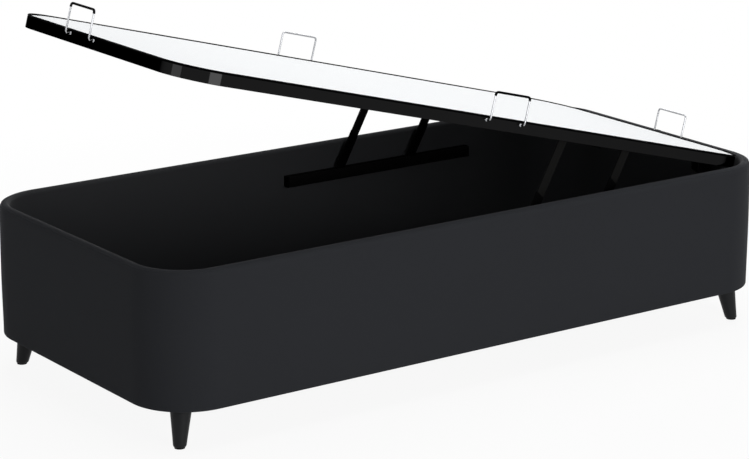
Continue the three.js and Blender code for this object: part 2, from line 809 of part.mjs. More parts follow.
function retainers() {
  const sideX = lidWidth / 2;
  const quarter = Math.PI / 2;
  return [
    retainer('retainer_foot', -endLoopShift, -lidLength, 0),
    retainer('retainer_head', endLoopShift, 0, 2 * quarter),
    retainer('retainer_right', sideX, -sideLoopFromHead + sideLoopShift, quarter),
    retainer('retainer_left', -sideX, -sideLoopFromHead - sideLoopShift, -quarter),
  ];
}

function lid() {
  const group = new THREE.Group();
  group.position.set(0, hingeY, hingeZ);
  group.rotation.x = -lidOpen;
  group.add(sideTube('lid_side_tube_right', 1), sideTube('lid_side_tube_left', -1));
  group.add(headTube(), footTube(), ...crossbars());
  group.add(lidBoard(), lidTopPad(), lidEdgeBand(), lidPiping());
  group.add(...retainers());
  return group;
}

// Lifting arms

function arm(name, side, place) {
  const half = armWidth / 2;
  const shape = new THREE.Shape();
  shape.absarc(0, 0, half, -Math.PI / 2, Math.PI / 2, false);
  shape.lineTo(-place.length + tongueLength, half);
  shape.lineTo(-place.length, tongueRadius);
  shape.absarc(-place.length, 0, tongueRadius, Math.PI / 2, 3 * Math.PI / 2, false);
  shape.lineTo(-place.length + tongueLength, -half);
  shape.holes.push(circle(0, 0, armPinRadius + fit));
  const [x0, x1] = side > 0 ? [armInnerX, armOuterX] : [-armOuterX, -armInnerX];
  const bar = alongX(shape, x0, x1);
  const overlap = armThickness / 2;
  const start = side * (armOuterX - overlap);
  const roller = rodAlongX(start, side * (armOuterX + rollerWidth), -place.length, 0, rollerRadius);
  const pin = rodAlongX(start, side * rollerPinEndX, -place.length, 0, rollerPinRadius);
  const mesh = part(name, join([bar, roller, pin]), materials.blackSteel());
  mesh.position.set(0, place.y, place.z);
  mesh.rotation.x = place.angle;
  return mesh;
}

const divanBase = new THREE.Group();
divanBase.add(sidePanel('side_panel_right', 1), sidePanel('side_panel_left', -1));
divanBase.add(footPanel(), headPanel(), upholsteryCover());
divanBase.add(floorBoard(), ...floorBattens(), ...corners());
divanBase.add(wallRail('wall_rail_right', 1), wallRail('wall_rail_left', -1));
divanBase.add(gasCylinder('gas_cylinder_right', 1), gasCylinder('gas_cylinder_left', -1));
divanBase.add(gasRod('gas_rod_right', 1), gasRod('gas_rod_left', -1));
divanBase.add(hingeBracket('hinge_bracket_right', 1), hingeBracket('hinge_bracket_left', -1));
divanBase.add(hingePin('hinge_pin_right', 1), hingePin('hinge_pin_left', -1));
divanBase.add(arm('arm_front_right', 1, frontArm), arm('arm_front_left', -1, frontArm));
divanBase.add(arm('arm_rear_right', 1, rearArm), arm('arm_rear_left', -1, rearArm));
divanBase.add(lid());

export default divanBase;
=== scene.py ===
import json
import math

import bmesh
import bpy
from mathutils import Matrix, Vector, noise

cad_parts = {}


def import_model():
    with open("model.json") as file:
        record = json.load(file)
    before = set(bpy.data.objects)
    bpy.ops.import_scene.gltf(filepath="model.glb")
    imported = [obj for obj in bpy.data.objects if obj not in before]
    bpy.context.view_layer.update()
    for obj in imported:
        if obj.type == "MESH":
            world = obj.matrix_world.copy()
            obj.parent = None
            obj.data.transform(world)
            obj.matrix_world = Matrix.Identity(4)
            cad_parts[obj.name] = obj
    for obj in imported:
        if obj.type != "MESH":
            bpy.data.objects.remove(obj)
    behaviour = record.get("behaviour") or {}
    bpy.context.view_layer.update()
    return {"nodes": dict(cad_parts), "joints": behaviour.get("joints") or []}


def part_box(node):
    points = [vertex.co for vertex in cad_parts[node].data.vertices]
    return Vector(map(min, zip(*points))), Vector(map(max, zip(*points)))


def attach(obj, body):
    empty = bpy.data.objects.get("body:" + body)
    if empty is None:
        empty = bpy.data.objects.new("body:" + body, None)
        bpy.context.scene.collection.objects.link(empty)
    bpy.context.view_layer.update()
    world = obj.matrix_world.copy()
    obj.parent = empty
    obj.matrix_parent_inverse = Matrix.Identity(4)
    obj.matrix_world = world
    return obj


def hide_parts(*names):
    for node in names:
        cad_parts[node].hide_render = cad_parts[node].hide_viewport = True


# Looks for a divan base with a lift-up lid, in metres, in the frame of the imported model.
# +Y is the head end, where the lid is hinged, and the lid is open at rest.
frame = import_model()

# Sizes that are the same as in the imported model

# On the lid, u runs toward the head end from 0 at its head edge, and v up from its underside.
FIT = 0.0003
SKIN, PANEL = 0.004, 0.018
WALL = 2 * (SKIN + FIT) + PANEL
CORNER = 0.15
HINGE_INSET, HINGE_HEIGHT = 0.047, 0.01
LID_OPEN = math.radians(15)
LID_LENGTH, LID_CORNER = 1.826, 0.1155
BAND_THICKNESS = 0.003
PAD_BOTTOM, PAD_TOP = 0.0288, 0.0315
WIRE = 0.0025
LOOP_WIDTH = 0.111
LOOP_TOP, LOOP_FOOT = 0.095, 0.022
LOOP_STAND_OFF = 0.014
LEG_HEIGHT, LEG_SPLAY = 0.1, 0.015
LEG_X, LEG_Y = 0.386988, 0.874978
LEG_HIGH = 0.1037
LEG_FOOT_RADIUS, LEG_TOP_RADIUS = 0.0165, 0.028
TUBE, TUBE_WALL = 0.02, 0.0015
TUBE_INSET = 0.0718
CROSSBARS = (-0.632567, -1.193433)
STUDS, STUD_V = (-0.6655, -0.449), 0.007
PIN, PIN_HOLE = 0.004, 0.0043
LUG_RADIUS, LUG_WIDTH = 0.0085, 0.024
CHEEK, CHEEK_GAP = 0.004, 0.0005
BRACKET_WIDTH, BRACKET_HEIGHT, BRACKET_DROP = 0.052, 0.062, 0.031
BRACKET_RUN, BRACKET_SCREW_X = 0.014, 0.0197
ARM_THICKNESS, ARM_WIDTH = 0.005, 0.025
TONGUE_RADIUS, TONGUE_LENGTH = 0.007, 0.016
RAIL_SHEET, RAIL_END = 0.002, 0.004
RAIL_SCREW_INSET, RAIL_SCREWS = 0.04, 4
CYLINDER, ROD = 0.007, 0.003
CYLINDER_RUN_OUT = 0.02
YOKE_THICKNESS, YOKE_RIM, YOKE_BOSS = 0.0026, 0.0038, 0.0076
# Each arm's length between its pins, and its angle in degrees
ARMS = {"front": (0.26844, 61.4), "rear": (0.20423, 61.6)}


# Places that the frame gives, for pieces of a pair on its right-hand side


def corners_of(node):
    """A node's lowest and highest corners, to a tenth of a millimetre."""
    return [[round(value, 4) for value in corner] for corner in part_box(node)]


def place_of(name):
    return Vector(next(joint["pos_m"] for joint in frame["joints"] if joint["name"] == name))


cover_low, cover_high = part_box("upholstery_cover")
HALF_X, HALF_Y = cover_high.x, cover_high.y
BOTTOM, RIM = cover_low.z, cover_high.z

PANEL_TOP = corners_of("head_panel")[1][2]
LID_WIDTH = 2 * corners_of("lid_edge_band")[1][0]
TUBE_X = corners_of("lid_side_tube_right")[0][0] + TUBE / 2

# The rails and the hinge brackets stand where the floor board ends, close to the walls.
floor_low, floor_high = corners_of("floor_board")
FLOOR_BOTTOM = floor_low[2]
RAIL_BACK, BRACKET_BACK = floor_high[:2]

leg_low, leg_high = corners_of("leg_head_right")
LEG_LOW, LEG_STUD_HIGH = leg_low[2], leg_high[2]

pin_low, pin_high = corners_of("hinge_pin_right")
HINGE_X = (pin_low[0] + pin_high[0]) / 2

arm_low, arm_high = corners_of("arm_front_right")
ARM_INNER, ROLLER_PIN_END = arm_low[0], arm_high[0]
ARM_OUTER = ARM_INNER + ARM_THICKNESS

rail_low, rail_high = corners_of("wall_rail_right")
RAIL_FRONT, RAIL_FOOT, RAIL_BOTTOM = rail_low
RAIL_HEAD, RAIL_TOP = rail_high[1:]

cylinder_low, cylinder_high = corners_of("gas_cylinder_right")
CYLINDER_MOUTH, CYLINDER_HEAD = cylinder_low[1], cylinder_high[1]
ROD_X = (cylinder_low[0] + cylinder_high[0]) / 2
ROD_Z = (cylinder_low[2] + cylinder_high[2]) / 2

rod_low, rod_high = corners_of("gas_rod_right")
YOKE_FOOT, YOKE_BOTTOM = rod_low[1:]
YOKE_OUTER, ROD_TIP, YOKE_TOP = rod_high
YOKE_HEAD = CYLINDER_MOUTH - CYLINDER_RUN_OUT

SIDES = ((1, "right"), (-1, "left"))
CORNERS = (("head_right", 1, 1), ("head_left", -1, 1), ("foot_right", 1, -1), ("foot_left", -1, -1))
QUARTER = math.pi / 2
ALONG_Y = Matrix.Rotation(QUARTER, 4, "X")

hinge = place_of("lid_hinge")
to_lid = (
    Matrix.Translation(hinge)
    @ Matrix.Rotation(-LID_OPEN, 4, "X")
    @ Matrix.Translation((0, HINGE_INSET, -HINGE_HEIGHT))
)
lid_middle = to_lid @ Matrix.Translation((0, -LID_LENGTH / 2, 0))


# Mesh helpers

MERGE_DISTANCE = 1e-6
BEND_STEPS, BAR_SIDES, HOLE_SIDES = 7, 16, 28


def new_object(name, data):
    made = bpy.data.objects.new(name, data)
    bpy.context.scene.collection.objects.link(made)
    return made


def finish_mesh(name, mesh, material, sharp=35):
    for polygon in mesh.polygons:
        polygon.use_smooth = True
    mesh.set_sharp_from_angle(angle=math.radians(sharp))
    mesh.materials.append(material)
    return new_object(name, mesh)


def clean(mesh, merge=True, fill=False):
    """Merges points that coincide, fills open ends if asked, and turns all faces outward."""
    edited = bmesh.new()
    edited.from_mesh(mesh)
    if merge:
        bmesh.ops.remove_doubles(edited, verts=edited.verts, dist=MERGE_DISTANCE)
    if fill:
        bmesh.ops.holes_fill(edited, edges=edited.edges)
    bmesh.ops.recalc_face_normals(edited, faces=edited.faces)
    edited.to_mesh(mesh)
    edited.free()


def distances(points):
    """How far along a line of points each of them is."""
    found = [0.0]
    for start, end in zip(points, points[1:]):
        found.append(found[-1] + (end - start).length)
    return found


def grid(name, rows, material, sharp=35, close_rows=True, close_columns=True):
    """A mesh through a grid of points, with distances along it as its UV."""
    across = [0.0]
    for row, following in zip(rows, rows[1:] + rows[:1]):
        across.append(across[-1] + max((end - start).length for start, end in zip(row, following)))
    longest = max(rows, key=lambda row: distances(row)[-1])
    along = distances(longest + longest[:1])
    count = len(rows[0])
    faces = []
    uvs = []
    for row in range(len(rows) if close_rows else len(rows) - 1):
        here, there = row * count, (row + 1) % len(rows) * count
        low, high = across[row], across[row + 1]
        for column in range(count if close_columns else count - 1):
            beside = (column + 1) % count
            faces.append((here + column, here + beside, there + beside, there + column))
            left, right = along[column], along[column + 1]
            uvs += [(left, low), (right, low), (right, high), (left, high)]
    mesh = bpy.data.meshes.new(name)
    mesh.from_pydata([point for row in rows for point in row], [], faces)
    layer = mesh.uv_layers.new(name="UVMap")
    for loop, uv in zip(layer.data, uvs):
        loop.uv = uv
    return finish_mesh(name, mesh, material, sharp)


def outline(half_x, half_y, radius, steps, spacing):
    """Points round a rounded rectangle, counterclockwise, with their outward directions."""
    found = []
    for index, (side_x, side_y) in enumerate(((1, 1), (-1, 1), (-1, -1), (1, -1))):
        centre = Vector((side_x * (half_x - radius), side_y * (half_y - radius), 0))
        for step in range(steps + 1):
            angle = (index + step / steps) * QUARTER
            out = Vector((math.cos(angle), math.sin(angle), 0))
            found.append((centre + radius * out, out))
        run = 2 * (half_x - radius) if index % 2 == 0 else 2 * (half_y - radius)
        pieces = max(1, round(run / spacing))
        start, out = found[-1]
        along = Vector((-out.y, out.x, 0))
        for piece in range(1, pieces):
            found.append((start + along * run * piece / pieces, out))
    return found


def ring(name, half_x, half_y, radius, section, material, shift=None, **options):
    """A closed section, as inset and height, taken round a rounded rectangle."""
    round_it = outline(half_x, half_y, radius, **options)
    rows = []
    for inset, z in section:
        rows.append([Vector((point.x, point.y, z)) - out * inset for point, out in round_it])
    if shift:
        rows = [[shift(point, out) for point, (_, out) in zip(row, round_it)] for row in rows]
    return grid(name, rows, material)


def arc(centre, radius, start, end, steps):
    """Points on an arc, angles in degrees."""
    found = []
    for step in range(steps + 1):
        angle = math.radians(start + (end - start) * step / steps)
        found.append((centre[0] + radius * math.cos(angle), centre[1] + radius * math.sin(angle)))
    return found


def turned(name, profile, material, steps, sharp=35):
    """A turned piece from its profile as radius and height, closed at both ends on the axis."""
    rows = []
    for radius, z in profile:
        row = []
        for step in range(steps):
            angle = 2 * math.pi * step / steps
            row.append(Vector((radius * math.cos(angle), radius * math.sin(angle), z)))
        rows.append(row)
    piece = grid(name, rows, material, sharp, close_rows=False)
    clean(piece.data, fill=True)
    return piece


def rounded_path(corners, radius):
    """Points along straight runs with a round bend at each inner corner."""
    found = [Vector(corners[0])]
    for before, here, after in zip(corners, corners[1:], corners[2:]):
        here = Vector(here)
        start = here + (Vector(before) - here).normalized() * radius
        end = here + (Vector(after) - here).normalized() * radius
        for step in range(BEND_STEPS + 1):
            share = step / BEND_STEPS
            found.append(start.lerp(here, share).lerp(here.lerp(end, share), share))
    found.append(Vector(corners[-1]))
    return found


def sweep(name, path, radius, material):
    """A round bar along a path."""
    tangents = []
    for before, after in zip(path[:1] + path, path[1:] + path[-1:]):
        tangents.append((after - before).normalized())
    normal = tangents[0].orthogonal().normalized()
    rows = []
    for before, point, tangent in zip(tangents[:1] + tangents, path, tangents):
        normal = before.rotation_difference(tangent) @ normal
        side = tangent.cross(normal)
        row = []
        for step in range(BAR_SIDES):
            angle = 2 * math.pi * step / BAR_SIDES
            row.append(point + radius * (side * math.cos(angle) + normal * math.sin(angle)))
        rows.append(row)
    piece = grid(name, rows, material, 60, close_rows=False)
    clean(piece.data, merge=False, fill=True)
    return piece


def plate(name, outlines, start, end, bevel, material, axis="X"):
    """A flat piece with rounded edges. The first outline is outside and the rest are holes.

    An outline is given as y and z for axis X, or x and z for axis Y, and the thickness
    runs along the axis from start to end.
    """
    curve = bpy.data.curves.new(name, "CURVE")
    curve.dimensions = "2D"
    curve.fill_mode = "BOTH"
    curve.extrude = abs(end - start) / 2 - bevel
    curve.bevel_depth = bevel
    curve.bevel_resolution = 2
    curve.offset = -bevel
    for points in outlines:
        spline = curve.splines.new("POLY")
        spline.points.add(len(points) - 1)
        for point, (across, up) in zip(spline.points, points):
            point.co = (across, up, 0, 1)
        spline.use_cyclic_u = True
    drawn = new_object(name, curve)
    shaped = drawn.evaluated_get(bpy.context.evaluated_depsgraph_get())
    mesh = bpy.data.meshes.new_from_object(shaped)
    bpy.data.objects.remove(drawn)
    middle = (start + end) / 2
    turn = {
        "X": Matrix(((0, 0, 1, middle), (1, 0, 0, 0), (0, 1, 0, 0), (0, 0, 0, 1))),
        "Y": Matrix(((1, 0, 0, 0), (0, 0, -1, middle), (0, 1, 0, 0), (0, 0, 0, 1))),
    }[axis]
    mesh.transform(turn)
    mesh.materials.clear()
    clean(mesh)
    return finish_mesh(name, mesh, material)


def circle(centre, radius):
    return arc(centre, radius, 0, 360 * (HOLE_SIDES - 1) / HOLE_SIDES, HOLE_SIDES - 1)


def box_outline(left, bottom, right, top, radius):
    """A rectangle with round corners."""
    left, bottom, right, top = left + radius, bottom + radius, right - radius, top - radius
    centres = ((right, top), (left, top), (left, bottom), (right, bottom))
    found = []
    for index, centre in enumerate(centres):
        found += arc(centre, radius, 90 * index, 90 * index + 90, 4)
    return found


TUBE_ROUND = 0.0028
TUBE_LEAST_ROUND = 0.0006
TUBE_EDGE = 0.0003


def square_tube(name, start, end, material):
    """A square tube along y, standing on z = 0, open at both ends."""
    half = TUBE / 2

    def loop(inset, y):
        radius = max(TUBE_ROUND - inset, TUBE_LEAST_ROUND)
        points = outline(half - inset, half - inset, radius, steps=5, spacing=1)
        return [Vector((point.x, y, point.y + half)) for point, _ in points]

    rows = [loop(TUBE_EDGE, start), loop(0, start + TUBE_EDGE)]
    rows += [loop(0, end - TUBE_EDGE), loop(TUBE_EDGE, end)]
    rows += [loop(TUBE_WALL, end), loop(TUBE_WALL, start)]
    return grid(name, rows, material)


def along_x(side, x, y, z):
    """Turns a piece that was made along z outward along x, and places it."""
    return Matrix.Translation((side * x, y, z)) @ Matrix.Rotation(side * QUARTER, 4, "Y")


def domed(radius, height, recess=0.0):
    """The profile of a rivet or screw head, from its face outward."""
    profile = [(0, 0), (radius * 0.97, 0), (radius, height * 0.2), (radius * 0.96, height * 0.45)]
    profile += [(radius * 0.8, height * 0.75), (radius * 0.5, height * 0.95)]
    if recess:
        return profile + [(recess, height), (recess * 0.8, height * 0.35), (0, height * 0.3)]
    return profile + [(radius * 0.2, height), (0, height)]


def rivet(name):
    """A pin's or stud's head, its face on z = 0."""
    return turned(name, domed(0.0065, 0.002), zinc, 32, 50)


def screw(name):
    """A screw's head with its recess, its face on z = 0."""
    return turned(name, domed(0.0045, 0.0022, 0.0018), zinc, 28, 50)


def plain_pin(name, length):
    """A round pin with square ends, standing on z = 0."""
    return turned(name, [(0, 0), (PIN, 0), (PIN, length), (0, length)], zinc, 28)


def join(name, pieces):
    """Several meshes as one object, each with its own material."""
    for piece in pieces:
        piece.data.transform(piece.matrix_basis)
        piece.matrix_basis = Matrix.Identity(4)
    bpy.ops.object.select_all(action="DESELECT")
    for piece in pieces:
        piece.select_set(True)
    bpy.context.view_layer.objects.active = pieces[0]
    bpy.ops.object.join()
    pieces[0].name = name
    return pieces[0]


def place(piece, matrix):
    piece.data.transform(matrix)
    return piece


def bevelled(node, width):
    """Rounds the edges of a node that stays."""
    modifier = frame["nodes"][node].modifiers.new("edges", "BEVEL")
    modifier.width = width
    modifier.segments = 2
    modifier.limit_method = "ANGLE"
    modifier.angle_limit = math.radians(40)
    modifier.harden_normals = False


# Material helpers

# How far an edge stands out where its wear begins, and where it is full
WEAR_BEGINS, WEAR_FULL = 0.53, 0.62


def map_range(tree, value, low, high):
    """A node that turns 0 to 1 into low to high."""
    node = tree.nodes.new("ShaderNodeMapRange")
    node.inputs["To Min"].default_value = low
    node.inputs["To Max"].default_value = high
    tree.links.new(value, node.inputs["Value"])
    return node


class Finish:
    """A Principled material with its nodes built by short calls."""

    def __init__(self, name, color, roughness, metallic=0.0, **sockets):
        self.material = bpy.data.materials.new(name)
        self.material.use_nodes = True
        self.tree = self.material.node_tree
        self.nodes, self.links = self.tree.nodes, self.tree.links
        self.shader = self.nodes["Principled BSDF"]
        self.color = (*color, 1)
        self.shader.inputs["Base Color"].default_value = self.color
        self.shader.inputs["Roughness"].default_value = roughness
        self.shader.inputs["Metallic"].default_value = metallic
        for socket, value in sockets.items():
            self.shader.inputs[socket.replace("_", " ")].default_value = value
        self.place = self.nodes.new("ShaderNodeTexCoord").outputs["Object"]
        self.height = None
        self.tint = None

    def feed(self, socket, value):
        """Links a node's output to a socket, or sets the socket to a plain value."""
        if isinstance(value, bpy.types.NodeSocket):
            self.links.new(value, socket)
        else:
            socket.default_value = value

    def stretched(self, scale):
        mapping = self.nodes.new("ShaderNodeMapping")
        mapping.inputs["Scale"].default_value = scale
        self.links.new(self.place, mapping.inputs["Vector"])
        return mapping.outputs["Vector"]

    def noise(self, scale, detail, source=None):
        node = self.nodes.new("ShaderNodeTexNoise")
        node.inputs["Scale"].default_value = scale
        node.inputs["Detail"].default_value = detail
        self.links.new(source or self.place, node.inputs["Vector"])
        return node.outputs["Fac"]

    def math(self, operation, *values):
        node = self.nodes.new("ShaderNodeMath")
        node.operation = operation
        for socket, value in zip(node.inputs, values):
            self.feed(socket, value)
        return node.outputs[0]

    def weave(self, pitch):
        """Over and under threads, from the distances along the cloth."""
        uv = self.nodes.new("ShaderNodeUVMap").outputs["UV"]
        split = self.nodes.new("ShaderNodeSeparateXYZ")
        self.links.new(uv, split.inputs[0])
        turns = 2 * math.pi / pitch
        warp = self.math("SINE", self.math("MULTIPLY", split.outputs[0], turns))
        weft = self.math("SINE", self.math("MULTIPLY", split.outputs[1], turns))
        return self.math("MULTIPLY_ADD", self.math("MULTIPLY", warp, weft), 0.5, 0.5)

    def tinted(self, blend_type, factor, over):
        """Puts a colour or a value over the base colour."""
        mix = self.nodes.new("ShaderNodeMix")
        mix.data_type = "RGBA"
        mix.blend_type = blend_type
        self.feed(mix.inputs["Factor"], factor)
        self.feed(mix.inputs["A"], self.tint or self.color)
        self.feed(mix.inputs["B"], over)
        self.tint = mix.outputs["Result"]
        self.links.new(self.tint, self.shader.inputs["Base Color"])

    def vary(self, fac, low, high):
        """Multiplies the colour by a value from low to high."""
        self.tinted("MULTIPLY", 1.0, map_range(self.tree, fac, low, high).outputs["Result"])

    def wear(self, color, amount):
        """Another colour along the edges that stand out."""
        geometry = self.nodes.new("ShaderNodeNewGeometry")
        worn = map_range(self.tree, geometry.outputs["Pointiness"], 0.0, amount)
        worn.inputs["From Min"].default_value = WEAR_BEGINS
        worn.inputs["From Max"].default_value = WEAR_FULL
        self.tinted("MIX", worn.outputs["Result"], (*color, 1))

    def gloss(self, fac, low, high):
        """Roughness from low to high."""
        rough = map_range(self.tree, fac, low, high).outputs["Result"]
        self.links.new(rough, self.shader.inputs["Roughness"])

    def bump(self, fac, distance, strength=1.0):
        node = self.nodes.new("ShaderNodeBump")
        node.inputs["Distance"].default_value = distance
        node.inputs["Strength"].default_value = strength
        self.links.new(fac, node.inputs["Height"])
        if self.height:
            self.links.new(self.height, node.inputs["Normal"])
        self.height = node.outputs["Normal"]
        self.links.new(self.height, self.shader.inputs["Normal"])


def cloth(name, color, pitch, depth, roughness=0.9, sheen=0.04, spread=(0.95, 1.05), shine=0.08):
    made = Finish(
        name, color, roughness, Sheen_Weight=sheen, Sheen_Roughness=0.4, Specular_IOR_Level=shine
    )
    threads = made.weave(pitch)
    made.vary(made.noise(2.5, 4), *spread)
    made.vary(made.noise(900, 2), 0.9, 1.1)
    made.vary(threads, 0.94, 1.06)
    made.bump(threads, depth)
    made.bump(made.noise(1400, 2), depth * 0.6)
    return made.material


def wood(name, light, roughness, grain=(3, 3, 60)):
    made = Finish(name, light, roughness, Specular_IOR_Level=0.14)
    streaks = made.noise(9, 6, made.stretched(grain))
    made.vary(streaks, 0.72, 1.15)
    made.vary(made.noise(3, 2), 0.92, 1.05)
    made.gloss(streaks, roughness - 0.08, roughness + 0.08)
    made.bump(streaks, 0.0002)
    return made.material


def chipboard(name, color):
    made = Finish(name, color, 0.85)
    chips = made.nodes.new("ShaderNodeTexVoronoi")
    chips.inputs["Scale"].default_value = 260
    made.links.new(made.stretched((1, 1, 2.2)), chips.inputs["Vector"])
    made.vary(chips.outputs["Distance"], 0.8, 1.25)
    made.vary(made.noise(60, 4), 0.88, 1.1)
    made.bump(chips.outputs["Distance"], 0.0003)
    return made.material


def painted(name, color, roughness, wear, shine=0.05):
    made = Finish(name, color, roughness, Specular_IOR_Level=shine)
    made.vary(made.noise(6, 3), 0.9, 1.12)
    made.wear(wear, 0.3)
    made.gloss(made.noise(40, 3), roughness - 0.05, roughness + 0.07)
    made.bump(made.noise(700, 2), 0.00003)
    return made.material


def metal(name, color, roughness, brushed=(1, 1, 1)):
    made = Finish(name, color, roughness, 1.0)
    lines = made.noise(400, 2, made.stretched(brushed))
    made.vary(made.noise(12, 2), 0.95, 1.03)
    made.gloss(lines, max(0.02, roughness - 0.03), roughness + 0.04)
    made.bump(lines, 0.00002)
    return made.material


def gloss_black(name):
    made = Finish(name, (0.011, 0.011, 0.0112), 0.05, 1.0, Specular_Tint=(0, 0, 0, 1))
    made.vary(made.noise(4, 2), 0.9, 1.1)
    made.gloss(made.noise(25, 3), 0.035, 0.075)
    made.bump(made.noise(5, 2), 0.0004, 0.25)
    return made.material


charcoal = cloth("charcoal_weave", (0.0226, 0.0239, 0.0272), 0.0011, 0.00012)
# The same charcoal cloth, painted lighter for the inside of the box and the inner half of the rim's
# roll, to offset the shade there
shade_lifted_cloth = cloth("charcoal_shade_lifted", (0.0395, 0.0405, 0.0435), 0.0011, 0.0001)
white_cloth = cloth("white_knit", (0.935, 0.95, 0.962), 0.0009, 0.00002, 0.85, 0.1, (0.985, 1.0))
lining = cloth("dark_lining", (0.032, 0.032, 0.034), 0.0016, 0.00008, 0.95, 0.02)
thread = cloth("charcoal_thread", (0.045, 0.047, 0.052), 0.0008, 0.00005, 0.7)
cord = cloth("black_piping", (0.0012, 0.0012, 0.0013), 0.0006, 0.00008, 0.8, 0.0, shine=0.01)
leg_finish = wood("charcoal_stain", (0.0098, 0.0105, 0.0115), 0.5)
softwood = wood("softwood", (0.5, 0.38, 0.24), 0.8, (3, 40, 3))
board = chipboard("chipboard", (0.45, 0.34, 0.21))
black_steel = painted("black_powder_coat", (0.0016, 0.0016, 0.0017), 0.45, (0.012,) * 3, 0.02)
bracket_steel = painted("grey_powder_coat", (0.019, 0.0195, 0.0205), 0.5, (0.05,) * 3)
arm_steel = painted("dark_powder_coat", (0.004, 0.0039, 0.0037), 0.5, (0.02,) * 3, 0.03)
zinc = metal("zinc_plate", (0.55, 0.56, 0.58), 0.32)
chrome = metal("chrome_wire", (0.4, 0.405, 0.42), 0.1, (1, 1, 8))
polished = metal("polished_rod", (0.6, 0.61, 0.63), 0.08, (1, 8, 1))
rubber = painted("black_rubber", (0.008, 0.008, 0.008), 0.8, (0.02,) * 3)
plastic = painted("black_plastic", (0.0006, 0.0006, 0.0007), 0.5, (0.004,) * 3, 0.01)
band_finish = gloss_black("gloss_black_band")


# Box cover: it wraps the panels outside, rolls over the rim and goes down the inside

CREST = 0.016
HEM_REACH, HEM_DROP, HEM_ROUND, HEM_GAP = 0.03, 0.0008, 0.003, 0.0001
FULLNESS = 0.0014
UNEVENNESS, UNEVEN_SCALE, UNEVEN_TALL = 0.0005, 3.1, 1.6
UNEVEN_DEPTH, UNEVEN_FOOT = 0.02, 0.03
# Where the lighter, shade-offsetting copy of the cloth begins: just inside the crest, and down to
# just under the floor
SHADE_LIFTED_DEPTH, SHADE_LIFTED_FOOT = CREST + 0.002, FLOOR_BOTTOM - 0.01


def cover_section():
    """Inset and height: up the outer face, over the rim, which rolls wider outside, and down."""
    hem = BOTTOM - HEM_DROP
    foot, wall_top = hem + HEM_ROUND, RIM - CREST
    section = [(HEM_REACH, hem), (0.016, hem), (0.006, hem)]
    section += [(HEM_ROUND - x, z) for x, z in arc((0, foot), HEM_ROUND, -90, 0, 4)]
    for step in range(1, 16):
        share = step / 16
        full = FULLNESS * math.sin(math.pi * share) ** 1.6
        section.append((-full, foot + (wall_top - foot) * share))
    section += arc((CREST, wall_top), CREST, 180, 90, 12)
    inner = WALL - CREST
    section += arc((CREST, RIM - inner), inner, 90, 0, 8)[1:]
    for step in range(1, 13):
        section.append((WALL, RIM - inner + (FLOOR_BOTTOM - RIM + inner) * step / 12))
    back, top, edge = WALL - SKIN, PANEL_TOP + FIT, BOTTOM - HEM_GAP
    section += [(back, FLOOR_BOTTOM), (back, top), (SKIN, top), (SKIN, edge), (HEM_REACH, edge)]
    return section


def depth(point):
    """How far a point is inside the outer face."""
    past = Vector((abs(point.x) - HALF_X + CORNER, abs(point.y) - HALF_Y + CORNER))
    if past.x <= 0 or past.y <= 0:
        return CORNER - max(past.x, past.y)
    return CORNER - past.length


def soften(point, out):
    """Small, slow unevenness of the padding, fading out toward the inside and the bottom."""
    share = max(0.0, 1 - max(depth(point), 0) / UNEVEN_DEPTH)
    share *= min(1.0, max(0.0, (point.z - BOTTOM) / UNEVEN_FOOT))
    lift = noise.noise(Vector((point.x, point.y, point.z * UNEVEN_TALL)) * UNEVEN_SCALE) * UNEVENNESS
    return point + out * lift * share


cover = ring(
    "cover", HALF_X, HALF_Y, CORNER, cover_section(), charcoal, soften, steps=22, spacing=0.05
)
# The inside and the inner half of the roll take the lighter copy, a painted lift against the shade
# inside the box
cover.data.materials.append(shade_lifted_cloth)
for polygon in cover.data.polygons:
    if polygon.center.z > SHADE_LIFTED_FOOT and depth(polygon.center) > SHADE_LIFTED_DEPTH:
        polygon.material_index = 1
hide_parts("upholstery_cover")
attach(cover, "base")


# Lid: gloss edge band, piping and the padded top

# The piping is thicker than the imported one, and the band hides its lower part.
PIPING, PIPING_BOTTOM = 0.0027, 0.0281
BAND_GAP, BAND_ROUND, BESIDE_ROUND = 0.0001, 0.0006, 0.0003


def lid_ring(name, section, material, **options):
    made = ring(name, LID_WIDTH / 2, LID_LENGTH / 2, LID_CORNER, section, material, **options)
    return place(made, lid_middle)


def band_section():
    """A flat strip with round edges, with points beside the edges that keep its faces flat."""
    bend, beside = BAND_ROUND, BESIDE_ROUND
    low, high, back = bend, PIPING_BOTTOM - BAND_GAP - bend, BAND_THICKNESS - bend
    section = arc((bend, low), bend, 180, 270, 3) + arc((back, low), bend, 270, 360, 3)
    section += [(BAND_THICKNESS, low + beside), (BAND_THICKNESS, high - beside)]
    section += arc((back, high), bend, 0, 90, 3) + arc((bend, high), bend, 90, 180, 3)
    return section + [(0, high - beside), (0, low + beside)]


band = lid_ring("edge_band", band_section(), band_finish, steps=28, spacing=0.2)
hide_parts("lid_edge_band")
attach(band, "lid")

piping_section = arc((PIPING, PIPING_BOTTOM + PIPING), PIPING, 0, 337.5, 15)
piping = lid_ring("piping_cord", piping_section, cord, steps=28, spacing=0.1)
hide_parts("lid_piping")
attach(piping, "lid")

PAD_INSET = 2 * PIPING + 0.0002
PAD_CURVE_BEGINS, PAD_EDGE = 0.955, 0.0004
SWELL_ROOM, SWELL_CAP, SWELL_FRAMES = 0.0015, 0.0014, 20
PINNED_BELOW = PAD_BOTTOM + 0.0012
BACK_SHARES = (0.0, 0.3, 0.7, 1.0)
TOP_SHARES = (1.0, 0.9985, 0.996, 0.99, 0.97, 0.93, 0.87, 0.78, 0.68, 0.56, 0.43, 0.29, 0.15, 0.0)


